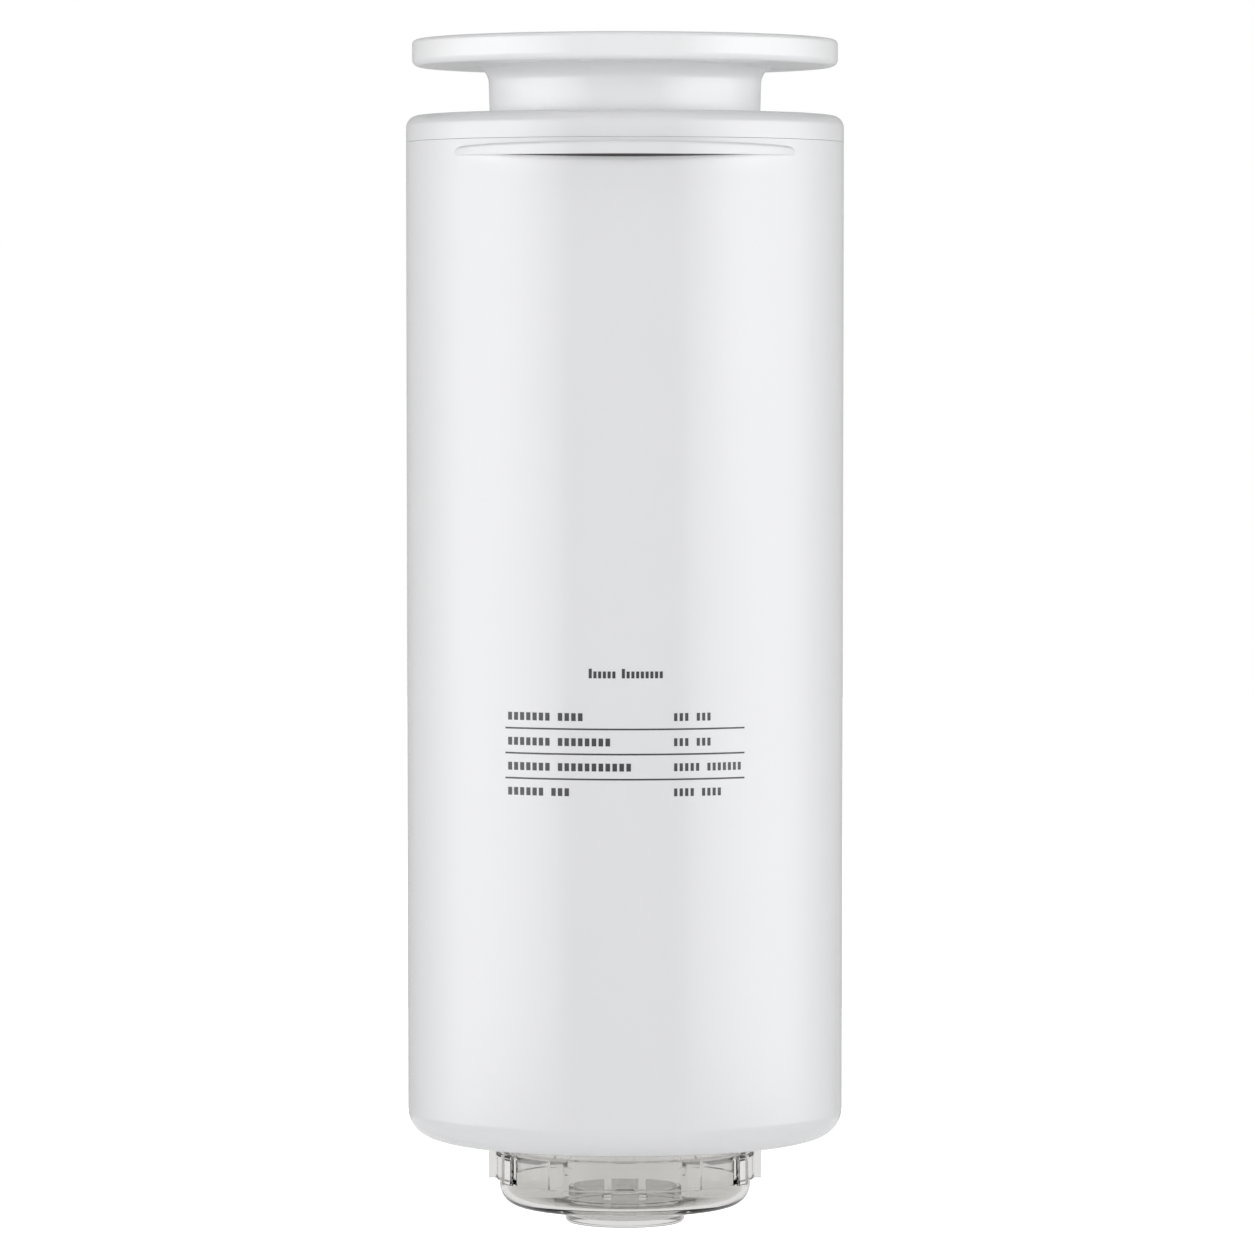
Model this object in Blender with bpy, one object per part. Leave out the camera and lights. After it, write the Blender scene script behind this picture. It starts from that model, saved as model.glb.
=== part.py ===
"""A spiral-wound reverse osmosis cartridge, standing with its port socket at the base.

The origin is on the axis, in the plane of the housing's base. +Z is up and the catch
ledge faces -Y. Every size is in metres.
"""

import math

import bmesh
import bpy
from mathutils import Matrix, Vector

# Fits
FIT_GAP = 0.0003
SEAL_GROOVE_DEPTH = 0.0014
SEAL_PROUD = 0.0005

# Housing shell
BODY_RADIUS = 0.0541
BODY_DRAFT = 0.0002
BODY_WALL = 0.0030
BODY_HEIGHT = 0.2461
BASE_ROUND = 0.0070
BASE_WALL = 0.0035

# Port socket in the base of the shell
SOCKET_DEPTH = 0.0240
SOCKET_WALL = 0.0028
SOCKET_CHAMFER = 0.0007
CEILING_WALL = 0.0035
FEED_HOLES = 8
FEED_HOLE_RADIUS = 0.0022

# Catch ledge on the front of the shell
LEDGE_HEIGHT = 0.0031
LEDGE_REACH = 0.0040
LEDGE_HALF_WIDTH = 0.0420
LEDGE_BELOW_SEAM = 0.0018
LEDGE_ROUND = 0.0010
LEDGE_END_SHARE = 0.62
LEDGE_OVERRUN = math.radians(1.5)

# Lid welded into the top of the shell
LID_RISE = 0.0062
LID_ROUND = 0.0030
LID_CROWN = 0.0008
LID_WALL = 0.0030
LID_SPIGOT_DEPTH = 0.0080
LID_SPIGOT_WALL = 0.0025
LID_RIBS = 6
LID_RIB_DEPTH = 0.0050
LOCATOR_DEPTH = 0.0080
LOCATOR_WALL = 0.0025

# Knob on the lid
FLANGE_RADIUS = 0.0526
FLANGE_THICKNESS = 0.0066
FLANGE_TOP_ROUND = 0.0012
FLANGE_EDGE_ROUND = 0.0018
NECK_RADIUS = 0.0338
NECK_DRAFT = 0.0004
NECK_FILLET = 0.0022
FINGER_GAP = 0.0114
KNOB_WALL = 0.0028
KNOB_SEAT_DEPTH = 0.0015
KNOB_POST_RADIUS = 0.0045
KNOB_WEBS = 6

# Two-start thread between the clear cap and the socket
THREAD_STARTS = 2
THREAD_PITCH = 0.0040
THREAD_HEIGHT = 0.0009
THREAD_ROOT_WIDTH = 0.0020
THREAD_CREST_WIDTH = 0.0010
THREAD_TURNS = 0.55

# Clear transit cap
CAP_NECK_RADIUS = 0.0297
CAP_NECK_WALL = 0.0020
CAP_NECK_LEAD_IN = 0.0003
CAP_SEAL_GROOVE = 0.0008
GRIP_DROP = 0.0032
GRIP_PROUD = 0.0011
GRIP_HEIGHT = 0.0074
GRIP_CHAMFER = 0.0004
GRIP_RIBS = 12
GRIP_RIB_REACH = 0.0017
GRIP_RIB_WIDTH = 0.0047
BOWL_RADIUS = 0.0311
BOWL_WALL = 0.0018
BOWL_DEPTH = 0.0067
BOWL_ROUND = 0.0052
BOSS_RADIUS = 0.0148
BOSS_DEPTH = 0.0043
BOSS_ROUND = 0.0011
POCKET_RADIUS = 0.0140
POCKET_WALL = 0.0014
POCKET_RIM = 0.0031
POCKET_FLOOR = 0.0016
NOTCH_WIDTH = 0.0024
NOTCH_ANGLE = math.radians(19.0)

# Port core in the socket
NOZZLE_RADIUS = 0.0130
NOZZLE_RECESS = 0.0015
NOZZLE_CHAMFER = 0.0010
NOZZLE_SEAL_LAND = 0.0021
PERMEATE_BORE = 0.0035
BRINE_CHANNELS = 6
BRINE_CHANNEL_RADIUS = 0.0016
CORE_FLANGE_RADIUS = 0.0200
CORE_FLANGE_THICKNESS = 0.0032
BRINE_SPIGOT_RADIUS = 0.0170
BRINE_SPIGOT_WALL = 0.0025
BRINE_SPIGOT_HEIGHT = 0.0090
TUBE_SPIGOT_HEIGHT = 0.0190
TUBE_SEAL_LAND = 0.0014

# Membrane element
FEED_ANNULUS = 0.0040
CUP_WALL = 0.0018
CUP_FLOOR = 0.0025
CUP_STANDOFF = 0.0110
CUP_OVERLAP = 0.0100
CUP_COLLAR_WALL = 0.0025
CUP_RIBS = 6
CUP_RIB_HEIGHT = 0.0030
WRAP_THICKNESS = 0.0005
ROLL_HEADROOM = 0.0205
ROLL_TURN_PITCH = 0.0120
ROLL_GROOVE_WIDTH = 0.0016
ROLL_GROOVE_DEPTH = 0.0012
TUBE_RADIUS = 0.0085
TUBE_WALL = 0.0020
TUBE_STANDOFF = 0.0030
TUBE_HOLE_RADIUS = 0.0014
TUBE_HOLE_ROWS = 6
PLUG_HEAD_HEIGHT = 0.0042
PLUG_SPIGOT_LENGTH = 0.0080
END_RING_THICKNESS = 0.0040
END_RING_OVERLAP = 0.0080
END_RING_HUB_WALL = 0.0035
END_RING_SPOKES = 6
CENTRING_LUGS = 3
CENTRING_LUG_WIDTH = 0.0060
RIB_WIDTH = 0.0020

# How finely the round shapes are divided
BODY_STEPS = 48
CAP_STEPS = 36
INNER_STEPS = 24
SEAL_SIDES = 6
HOLE_SIDES = 8
ARC_STEP = math.radians(30.0)
ARC_ROUNDING = 0.01
FILLET_LIMIT = 0.98
THREAD_STEP = math.radians(15.0)
THREAD_FADE_STEPS = 3
LEDGE_STEPS = 16
ROLL_STEP = math.radians(24.0)
JOIN_DEPTH = 0.0006
WELD = 0.000001
SHARP_ANGLE = math.radians(35.0)

# Radii and heights that follow from the sizes above
BASE_RADIUS = BODY_RADIUS - BODY_DRAFT
BORE_RADIUS = BODY_RADIUS - BODY_WALL
SOCKET_RADIUS = CAP_NECK_RADIUS + THREAD_HEIGHT + FIT_GAP
THREAD_LEAD = THREAD_STARTS * THREAD_PITCH
CEILING_TOP = SOCKET_DEPTH + CEILING_WALL
CORE_SEAT = CEILING_TOP + FIT_GAP
CORE_TOP = CORE_SEAT + CORE_FLANGE_THICKNESS
SEAL_RADIUS = (SEAL_GROOVE_DEPTH - FIT_GAP) / 2

LID_SEAT = BODY_HEIGHT + FIT_GAP
LID_EDGE = LID_SEAT + LID_RISE
LID_CENTRE = LID_EDGE + LID_CROWN
KNOB_SEAT = LID_CENTRE - KNOB_SEAT_DEPTH
LID_UNDERSIDE = KNOB_SEAT - LID_WALL
FLANGE_UNDERSIDE = LID_CENTRE + FINGER_GAP
FLANGE_TOP = FLANGE_UNDERSIDE + FLANGE_THICKNESS
NECK_BASE_RADIUS = NECK_RADIUS - NECK_DRAFT

GRIP_TOP = -GRIP_DROP
GRIP_BASE = GRIP_TOP - GRIP_HEIGHT
BOWL_BASE = GRIP_BASE - BOWL_DEPTH
BOSS_BASE = BOWL_BASE - BOSS_DEPTH
SHOULDER_RADIUS = max(BOWL_RADIUS, CAP_NECK_RADIUS)
GRIP_RADIUS = SHOULDER_RADIUS + GRIP_PROUD
CAP_SEAL_RADIUS = (CAP_SEAL_GROOVE + THREAD_HEIGHT - FIT_GAP) / 2
CAP_SEAL_HEIGHT = CAP_SEAL_RADIUS + 2 * FIT_GAP
SOCKET_RIDGE_START = CAP_SEAL_HEIGHT + CAP_SEAL_RADIUS + FIT_GAP + THREAD_ROOT_WIDTH / 2
CAP_RIDGE_START = SOCKET_RIDGE_START + THREAD_PITCH / 2
CAP_RIDGE_TOP = CAP_RIDGE_START + THREAD_LEAD * THREAD_TURNS + THREAD_ROOT_WIDTH / 2
CAP_NECK_TOP = CAP_RIDGE_TOP + CAP_NECK_LEAD_IN

CUP_SEAT = CORE_TOP + FIT_GAP
CUP_FLOOR_BASE = CUP_SEAT + CUP_STANDOFF
CUP_FLOOR_TOP = CUP_FLOOR_BASE + CUP_FLOOR
ROLL_BASE = CUP_FLOOR_TOP + CUP_RIB_HEIGHT + FIT_GAP
ROLL_TOP = LID_UNDERSIDE - ROLL_HEADROOM
CUP_RADIUS = BORE_RADIUS - FEED_ANNULUS
WRAP_RADIUS = CUP_RADIUS - CUP_WALL - FIT_GAP
ROLL_RADIUS = WRAP_RADIUS - WRAP_THICKNESS - FIT_GAP
TUBE_BORE = TUBE_RADIUS - TUBE_WALL
TUBE_SPIGOT_RADIUS = TUBE_BORE - FIT_GAP
TUBE_BASE = CORE_TOP + TUBE_STANDOFF
PLUG_TOP = LID_UNDERSIDE - FIT_GAP
TUBE_TOP = PLUG_TOP - PLUG_HEAD_HEIGHT - FIT_GAP
END_RING_SEAT = ROLL_TOP + FIT_GAP

NOZZLE_SEAL_SECTION = (SEAL_GROOVE_DEPTH + SEAL_PROUD - FIT_GAP) / 2
NOZZLE_SEAL_HALF = NOZZLE_SEAL_SECTION + FIT_GAP
NOZZLE_SEAL_LOW = NOZZLE_RECESS + NOZZLE_CHAMFER + NOZZLE_SEAL_LAND + NOZZLE_SEAL_HALF
NOZZLE_SEAL_HIGH = (NOZZLE_SEAL_LOW + SOCKET_DEPTH) / 2
CORE_SEAL_CIRCLE = (NOZZLE_RADIUS + CORE_FLANGE_RADIUS) / 2
BRINE_SEAL_HEIGHT = CORE_TOP + BRINE_SPIGOT_HEIGHT / 2
TUBE_SEAL_HIGH = CORE_TOP + TUBE_SPIGOT_HEIGHT - TUBE_SEAL_LAND - SEAL_RADIUS - FIT_GAP
TUBE_SEAL_LOW = (TUBE_BASE + TUBE_SEAL_HIGH) / 2
PLUG_SEAL_HEIGHT = TUBE_TOP + FIT_GAP - PLUG_SPIGOT_LENGTH / 2

WHITE = (0.84, 0.845, 0.85, 1.0)
CLEAR = (0.90, 0.91, 0.90, 1.0)
GREY = (0.55, 0.56, 0.57, 1.0)
BLACK = (0.02, 0.02, 0.02, 1.0)
CREAM = (0.80, 0.78, 0.72, 1.0)
PALE_BLUE = (0.55, 0.66, 0.74, 1.0)


def empty_scene():
    for thing in list(bpy.data.objects):
        bpy.data.objects.remove(thing, do_unlink=True)


def finish(name, colour, roughness, transmission=0.0):
    """A Principled material for one sub-part."""
    made = bpy.data.materials.new(name + "_finish")
    made.use_nodes = True
    shader = made.node_tree.nodes["Principled BSDF"]
    shader.inputs["Base Color"].default_value = colour
    shader.inputs["Roughness"].default_value = roughness
    shader.inputs["Metallic"].default_value = 0.0
    shader.inputs["Transmission Weight"].default_value = transmission
    made.diffuse_color = colour
    return made


def solid(name, shape, carrier=None, material=None, height=0.0):
    """An object made from a bmesh, smooth where its faces meet at a shallow angle."""
    mesh = bpy.data.meshes.new(name)
    bmesh.ops.recalc_face_normals(shape, faces=shape.faces)
    shape.to_mesh(mesh)
    shape.free()
    mesh.shade_smooth()
    mesh.set_sharp_from_angle(angle=SHARP_ANGLE)
    made = bpy.data.objects.new(name, mesh)
    made.location.z = height
    made.parent = carrier
    if material:
        mesh.materials.append(material)
    bpy.context.scene.collection.objects.link(made)
    return made


def combine(target, tool, operation):
    """Cuts the tool from the target, or joins it on."""
    tool.hide_render = True
    tool.display_type = "WIRE"
    step = target.modifiers.new(tool.name, "BOOLEAN")
    step.object = tool
    step.operation = operation
    step.solver = "EXACT"


def fillet(before, corner, after, radius):
    """The points of an arc that rounds one corner, limited by the sides it joins."""
    to_before = before - corner
    to_after = after - corner
    half_angle = to_before.angle(to_after) / 2
    side = min(to_before.length, to_after.length)
    reach = min(radius / math.tan(half_angle), side * FILLET_LIMIT)
    radius = reach * math.tan(half_angle)
    bisector = (to_before.normalized() + to_after.normalized()).normalized()
    centre = corner + bisector * radius / math.sin(half_angle)
    first = corner + to_before.normalized() * reach - centre
    last = corner + to_after.normalized() * reach - centre
    start = math.atan2(first.y, first.x)
    turn = math.remainder(math.atan2(last.y, last.x) - start, math.tau)
    steps = max(2, math.ceil(abs(turn) / ARC_STEP - ARC_ROUNDING))
    angles = [start + turn * step / steps for step in range(steps + 1)]
    return [centre + Vector((math.cos(angle), math.sin(angle))) * radius for angle in angles]


def outline(*corners):
    """Points of a closed (radius, height) outline; a third value rounds that corner."""
    places = [Vector(corner[:2]) for corner in corners]
    points = []
    for index, corner in enumerate(corners):
        if len(corner) == 2:
            points.append(places[index])
            continue
        after = places[(index + 1) % len(places)]
        points += fillet(places[index - 1], places[index], after, corner[2])
    return points


def turned(name, points, steps, **placing):
    """A solid turned about the Z axis from an outline."""
    shape = bmesh.new()
    ring = [shape.verts.new((point.x, 0.0, point.y)) for point in points]
    edges = []
    for index, vert in enumerate(ring):
        if vert.co.x > WELD or ring[index - 1].co.x > WELD:
            edges.append(shape.edges.new((ring[index - 1], vert)))
    bmesh.ops.spin(
        shape,
        geom=ring + edges,
        cent=(0.0, 0.0, 0.0),
        axis=(0.0, 0.0, 1.0),
        angle=math.tau,
        steps=steps,
        use_merge=True,
    )
    bmesh.ops.remove_doubles(shape, verts=shape.verts, dist=WELD)
    return solid(name, shape, **placing)


def lofted(name, sections, closed=False, **placing):
    """A solid skinned over sections of equal point count, capped unless it closes."""
    shape = bmesh.new()
    loops = [[shape.verts.new(point) for point in section] for section in sections]
    pairs = list(zip(loops, loops[1:] + loops[:1] if closed else loops[1:]))
    for lower, upper in pairs:
        for index in range(len(lower)):
            shape.faces.new((lower[index - 1], lower[index], upper[index], upper[index - 1]))
    if not closed:
        shape.faces.new(loops[0])
        shape.faces.new(loops[-1])
    return solid(name, shape, **placing)


def polar(radius, angle, height):
    return Vector((radius * math.cos(angle), radius * math.sin(angle), height))


def rods(name, places, radius, low, high):
    """Upright round cutters, one at each (radius, angle) place."""
    shape = bmesh.new()
    for distance, angle in places:
        middle = polar(distance, angle, (low + high) / 2)
        bmesh.ops.create_cone(
            shape,
            cap_ends=True,
            segments=HOLE_SIDES,
            radius1=radius,
            radius2=radius,
            depth=high - low,
            matrix=Matrix.Translation(middle),
        )
    return solid(name, shape)


def radial_bars(name, count, inner, outer, width, low, high, start=0.0):
    """Evenly spaced upright bars that run outwards from near the axis."""
    shape = bmesh.new()
    size = Matrix.Diagonal((outer - inner, width, high - low, 1.0))
    middle = Matrix.Translation(((inner + outer) / 2, 0.0, (low + high) / 2))
    for index in range(count):
        turn = Matrix.Rotation(start + math.tau * index / count, 4, "Z")
        bmesh.ops.create_cube(shape, size=1.0, matrix=turn @ middle @ size)
    return solid(name, shape)


def groove(radius, height, depth, seal_radius):
    """Outline corners of a seal groove in a round face, from the top edge downwards."""
    half = seal_radius + FIT_GAP
    floor = radius - depth
    return (radius, height + half), (floor, height + half), (floor, height - half), (radius, height - half)


def seal_ring(name, radius, height, section, steps, carrier, material):
    """A round seal ring on the axis, lying at a height."""
    ring = []
    for index in range(SEAL_SIDES):
        angle = math.tau * index / SEAL_SIDES
        ring.append(Vector((radius + section * math.cos(angle), section * math.sin(angle))))
    return turned(name, ring, steps, carrier=carrier, material=material, height=height)


def thread(name, wall, reach, height):
    """The helical ridge of every start, rooted in a wall; a negative reach runs inwards."""
    ridges = []
    root = wall - math.copysign(JOIN_DEPTH, reach)
    steps = math.ceil(math.tau * THREAD_TURNS / THREAD_STEP)
    for start in range(THREAD_STARTS):
        sections = []
        for step in range(steps + 1):
            turn = THREAD_TURNS * step / steps
            angle = math.tau * (turn + start / THREAD_STARTS)
            middle = height + THREAD_LEAD * turn
            fade = min(1.0, (step + 1) / THREAD_FADE_STEPS, (steps - step + 1) / THREAD_FADE_STEPS)
            tip = wall + reach * fade
            sections.append(
                [
                    polar(root, angle, middle - THREAD_ROOT_WIDTH / 2),
                    polar(tip, angle, middle - THREAD_CREST_WIDTH / 2),
                    polar(tip, angle, middle + THREAD_CREST_WIDTH / 2),
                    polar(root, angle, middle + THREAD_ROOT_WIDTH / 2),
                ]
            )
        ridges.append(lofted(f"{name}_{start + 1}", sections))
    return ridges


def housing_shell(carrier):
    """The tall cup, rounded at its base and folded in there to make the port socket."""
    socket_outside = SOCKET_RADIUS + SOCKET_WALL
    core_hole = NOZZLE_RADIUS + FIT_GAP
    inner_round = max(BASE_ROUND - BODY_WALL, BASE_WALL / 2)
    shell = turned(
        "housing_shell",
        outline(
            (BODY_RADIUS, BODY_HEIGHT),
            (BORE_RADIUS, BODY_HEIGHT),
            (BORE_RADIUS, BASE_WALL, inner_round),
            (socket_outside, BASE_WALL),
            (socket_outside, CEILING_TOP),
            (core_hole, CEILING_TOP),
            (core_hole, SOCKET_DEPTH),
            (SOCKET_RADIUS, SOCKET_DEPTH),
            (SOCKET_RADIUS, SOCKET_CHAMFER),
            (SOCKET_RADIUS + SOCKET_CHAMFER, 0.0),
            (BASE_RADIUS, 0.0, BASE_ROUND),
        ),
        BODY_STEPS,
        carrier=carrier,
        material=finish("housing_shell", WHITE, 0.22),
    )
    feed_circle = (CORE_FLANGE_RADIUS + SOCKET_RADIUS) / 2
    places = [(feed_circle, math.tau * index / FEED_HOLES) for index in range(FEED_HOLES)]
    feed_holes = rods(
        "feed_hole_cutter",
        places,
        FEED_HOLE_RADIUS,
        SOCKET_DEPTH - JOIN_DEPTH,
        CEILING_TOP + JOIN_DEPTH,
    )
    combine(shell, feed_holes, "DIFFERENCE")
    combine(shell, catch_ledge(), "UNION")
    for ridge in thread("socket_thread", SOCKET_RADIUS, -THREAD_HEIGHT, SOCKET_RIDGE_START):
        combine(shell, ridge, "UNION")
    return shell


def catch_ledge():
    """The lens-shaped ledge: the part of an upright disc that stands out of the shell."""
    setback = math.sqrt(BODY_RADIUS**2 - LEDGE_HALF_WIDTH**2)
    rise = BODY_RADIUS + LEDGE_REACH - setback
    disc_radius = (LEDGE_HALF_WIDTH**2 + rise**2) / (2 * rise)
    disc_shift = BODY_RADIUS + LEDGE_REACH - disc_radius
    top = BODY_HEIGHT - LEDGE_BELOW_SEAM
    base = top - LEDGE_HEIGHT
    inside = BODY_RADIUS - BODY_WALL / 2
    end_angle = math.asin(LEDGE_HALF_WIDTH / BODY_RADIUS) + LEDGE_OVERRUN
    sections = []
    for step in range(LEDGE_STEPS + 1):
        off_front = end_angle * (2 * step / LEDGE_STEPS - 1)
        across = disc_shift * math.sin(off_front)
        outside = disc_shift * math.cos(off_front) + math.sqrt(disc_radius**2 - across**2)
        share = max(0.0, (outside - BODY_RADIUS) / LEDGE_REACH)
        height = LEDGE_HEIGHT * (LEDGE_END_SHARE + (1 - LEDGE_END_SHARE) * math.sqrt(share))
        profile = outline(
            (inside, base),
            (outside, base),
            (outside, base + height, LEDGE_ROUND),
            (inside, base + height),
        )
        angle = off_front - math.pi / 2
        sections.append([polar(point.x, angle, point.y) for point in profile])
    return lofted("catch_ledge_form", sections)


def end_lid(carrier):
    """The crowned lid, with a spigot in the shell, a seat for the knob and a tube locator."""
    spigot_outside = BORE_RADIUS - FIT_GAP
    spigot_inside = spigot_outside - LID_SPIGOT_WALL
    spigot_base = LID_SEAT - LID_SPIGOT_DEPTH
    seat_radius = NECK_BASE_RADIUS + FIT_GAP
    locator_inside = TUBE_RADIUS + FIT_GAP
    locator_outside = locator_inside + LOCATOR_WALL
    locator_base = LID_UNDERSIDE - LOCATOR_DEPTH
    lid = turned(
        "end_lid",
        outline(
            (0.0, KNOB_SEAT),
            (0.0, LID_UNDERSIDE),
            (locator_inside, LID_UNDERSIDE),
            (locator_inside, locator_base),
            (locator_outside, locator_base),
            (locator_outside, LID_UNDERSIDE),
            (spigot_inside, LID_UNDERSIDE),
            (spigot_inside, spigot_base),
            (spigot_outside, spigot_base),
            (spigot_outside, LID_SEAT),
            (BODY_RADIUS, LID_SEAT),
            (BODY_RADIUS, LID_EDGE, LID_ROUND),
            (seat_radius, LID_CENTRE),
            (seat_radius, KNOB_SEAT),
        ),
        BODY_STEPS,
        carrier=carrier,
        material=finish("end_lid", WHITE, 0.22),
    )
    ribs = radial_bars(
        "lid_rib_form",
        LID_RIBS,
        locator_outside - JOIN_DEPTH,
        spigot_inside + JOIN_DEPTH,
        RIB_WIDTH,
        LID_UNDERSIDE - LID_RIB_DEPTH,
        LID_UNDERSIDE + JOIN_DEPTH,
    )
    combine(lid, ribs, "UNION")
    return lid


def handle_knob(carrier):
    """The spool-shaped knob, cored from below and stiffened by webs round a post."""
    base = KNOB_SEAT + FIT_GAP
    roof = FLANGE_TOP - KNOB_WALL
    core_radius = NECK_BASE_RADIUS - KNOB_WALL
    web_base = LID_CENTRE + KNOB_WALL
    knob = turned(
        "handle_knob",
        outline(
            (0.0, FLANGE_TOP),
            (0.0, base),
            (KNOB_POST_RADIUS, base),
            (KNOB_POST_RADIUS, roof),
            (core_radius, roof),
            (core_radius, base),
            (NECK_BASE_RADIUS, base),
            (NECK_RADIUS, FLANGE_UNDERSIDE, NECK_FILLET),
            (FLANGE_RADIUS, FLANGE_UNDERSIDE, FLANGE_EDGE_ROUND),
            (FLANGE_RADIUS, FLANGE_TOP, FLANGE_TOP_ROUND),
        ),
        BODY_STEPS,
        carrier=carrier,
        material=finish("handle_knob", WHITE, 0.22),
    )
    webs = radial_bars(
        "knob_web_form",
        KNOB_WEBS,
        KNOB_POST_RADIUS - JOIN_DEPTH,
        core_radius + JOIN_DEPTH,
        RIB_WIDTH,
        web_base,
        roof + JOIN_DEPTH,
    )
    combine(knob, webs, "UNION")
    return knob


def grip_section(height, inset):
    """The ribbed outline of the cap's grip at one height, with its rim drawn in."""
    root = GRIP_RADIUS - inset
    crest = GRIP_RADIUS + GRIP_RIB_REACH - inset
    root_half = GRIP_RIB_WIDTH / 2 / GRIP_RADIUS
    crest_half = GRIP_RIB_WIDTH / 2 / (GRIP_RADIUS + GRIP_RIB_REACH)
    spacing = math.tau / GRIP_RIBS
    points = []
    for index in range(GRIP_RIBS):
        middle = spacing * index - math.pi / 2
        points.append(polar(root, middle - root_half, height))
        points.append(polar(crest, middle - crest_half, height))
        points.append(polar(crest, middle, height))
        points.append(polar(crest, middle + crest_half, height))
        points.append(polar(root, middle + root_half, height))
        points.append(polar(root, middle + spacing / 2, height))
    return points


def grip_ring(inside):
    """The ribbed grip: a ring with straight ribs and small chamfers at both rims."""
    outer = [
        grip_section(GRIP_BASE, GRIP_CHAMFER),
        grip_section(GRIP_BASE + GRIP_CHAMFER, 0.0),
        grip_section(GRIP_TOP - GRIP_CHAMFER, 0.0),
        grip_section(GRIP_TOP, GRIP_CHAMFER),
    ]
    inner = []
    for height in (GRIP_TOP, GRIP_BASE):
        loop = [Vector((point.x, point.y, 0.0)).normalized() * inside for point in outer[0]]
        inner.append([Vector((point.x, point.y, height)) for point in loop])
    return lofted("grip_ring_form", outer + inner, closed=True)


def transit_cap(carrier):
    """The clear screw cap: threaded neck, ribbed grip, shallow bowl and a central pocket."""
    neck_inside = CAP_NECK_RADIUS - CAP_NECK_WALL
    bowl_inside = BOWL_RADIUS - BOWL_WALL
    bowl_floor = BOWL_BASE + BOWL_WALL
    pocket_inside = POCKET_RADIUS - POCKET_WALL
    pocket_floor = BOSS_BASE + POCKET_FLOOR
    rim = bowl_floor + POCKET_RIM
    step_base = GRIP_TOP - CAP_NECK_WALL
    shoulder_base = GRIP_BASE + GRIP_CHAMFER
    inner_round = max(BOWL_ROUND - BOWL_WALL, BOWL_WALL)
    cap = turned(
        "transit_cap",
        outline(
            (0.0, pocket_floor),
            (0.0, BOSS_BASE),
            (BOSS_RADIUS, BOSS_BASE, BOSS_ROUND),
            (BOSS_RADIUS, BOWL_BASE),
            (BOWL_RADIUS, BOWL_BASE, BOWL_ROUND),
            (BOWL_RADIUS, shoulder_base),
            (SHOULDER_RADIUS, shoulder_base),
            (SHOULDER_RADIUS, GRIP_TOP),
            (CAP_NECK_RADIUS, GRIP_TOP),
            *reversed(groove(CAP_NECK_RADIUS, CAP_SEAL_HEIGHT, CAP_SEAL_GROOVE, CAP_SEAL_RADIUS)),
            (CAP_NECK_RADIUS, CAP_NECK_TOP),
            (neck_inside, CAP_NECK_TOP),
            (neck_inside, GRIP_TOP),
            (bowl_inside, step_base),
            (bowl_inside, bowl_floor, inner_round),
            (POCKET_RADIUS, bowl_floor),
            (POCKET_RADIUS, rim),
            (pocket_inside, rim),
            (pocket_inside, pocket_floor),
        ),
        CAP_STEPS,
        carrier=carrier,
        material=finish("transit_cap", CLEAR, 0.05, transmission=1.0),
    )
    combine(cap, grip_ring((BOWL_RADIUS + bowl_inside) / 2), "UNION")
    notches = bmesh.new()
    size = Matrix.Diagonal((POCKET_WALL + 2 * JOIN_DEPTH, NOTCH_WIDTH, POCKET_RIM, 1.0))
    middle_radius = POCKET_RADIUS - POCKET_WALL / 2
    middle_height = rim - POCKET_RIM / 2 + JOIN_DEPTH
    for side in (-math.pi / 2, math.pi / 2):
        for shift in (-NOTCH_ANGLE, NOTCH_ANGLE):
            place = Matrix.Translation(polar(middle_radius, side + shift, middle_height))
            turn = Matrix.Rotation(side + shift, 4, "Z")
            bmesh.ops.create_cube(notches, size=1.0, matrix=place @ turn @ size)
    combine(cap, solid("pocket_notch_cutter", notches), "DIFFERENCE")
    for ridge in thread("cap_thread", CAP_NECK_RADIUS, THREAD_HEIGHT, CAP_RIDGE_START):
        combine(cap, ridge, "UNION")
    return cap


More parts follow.
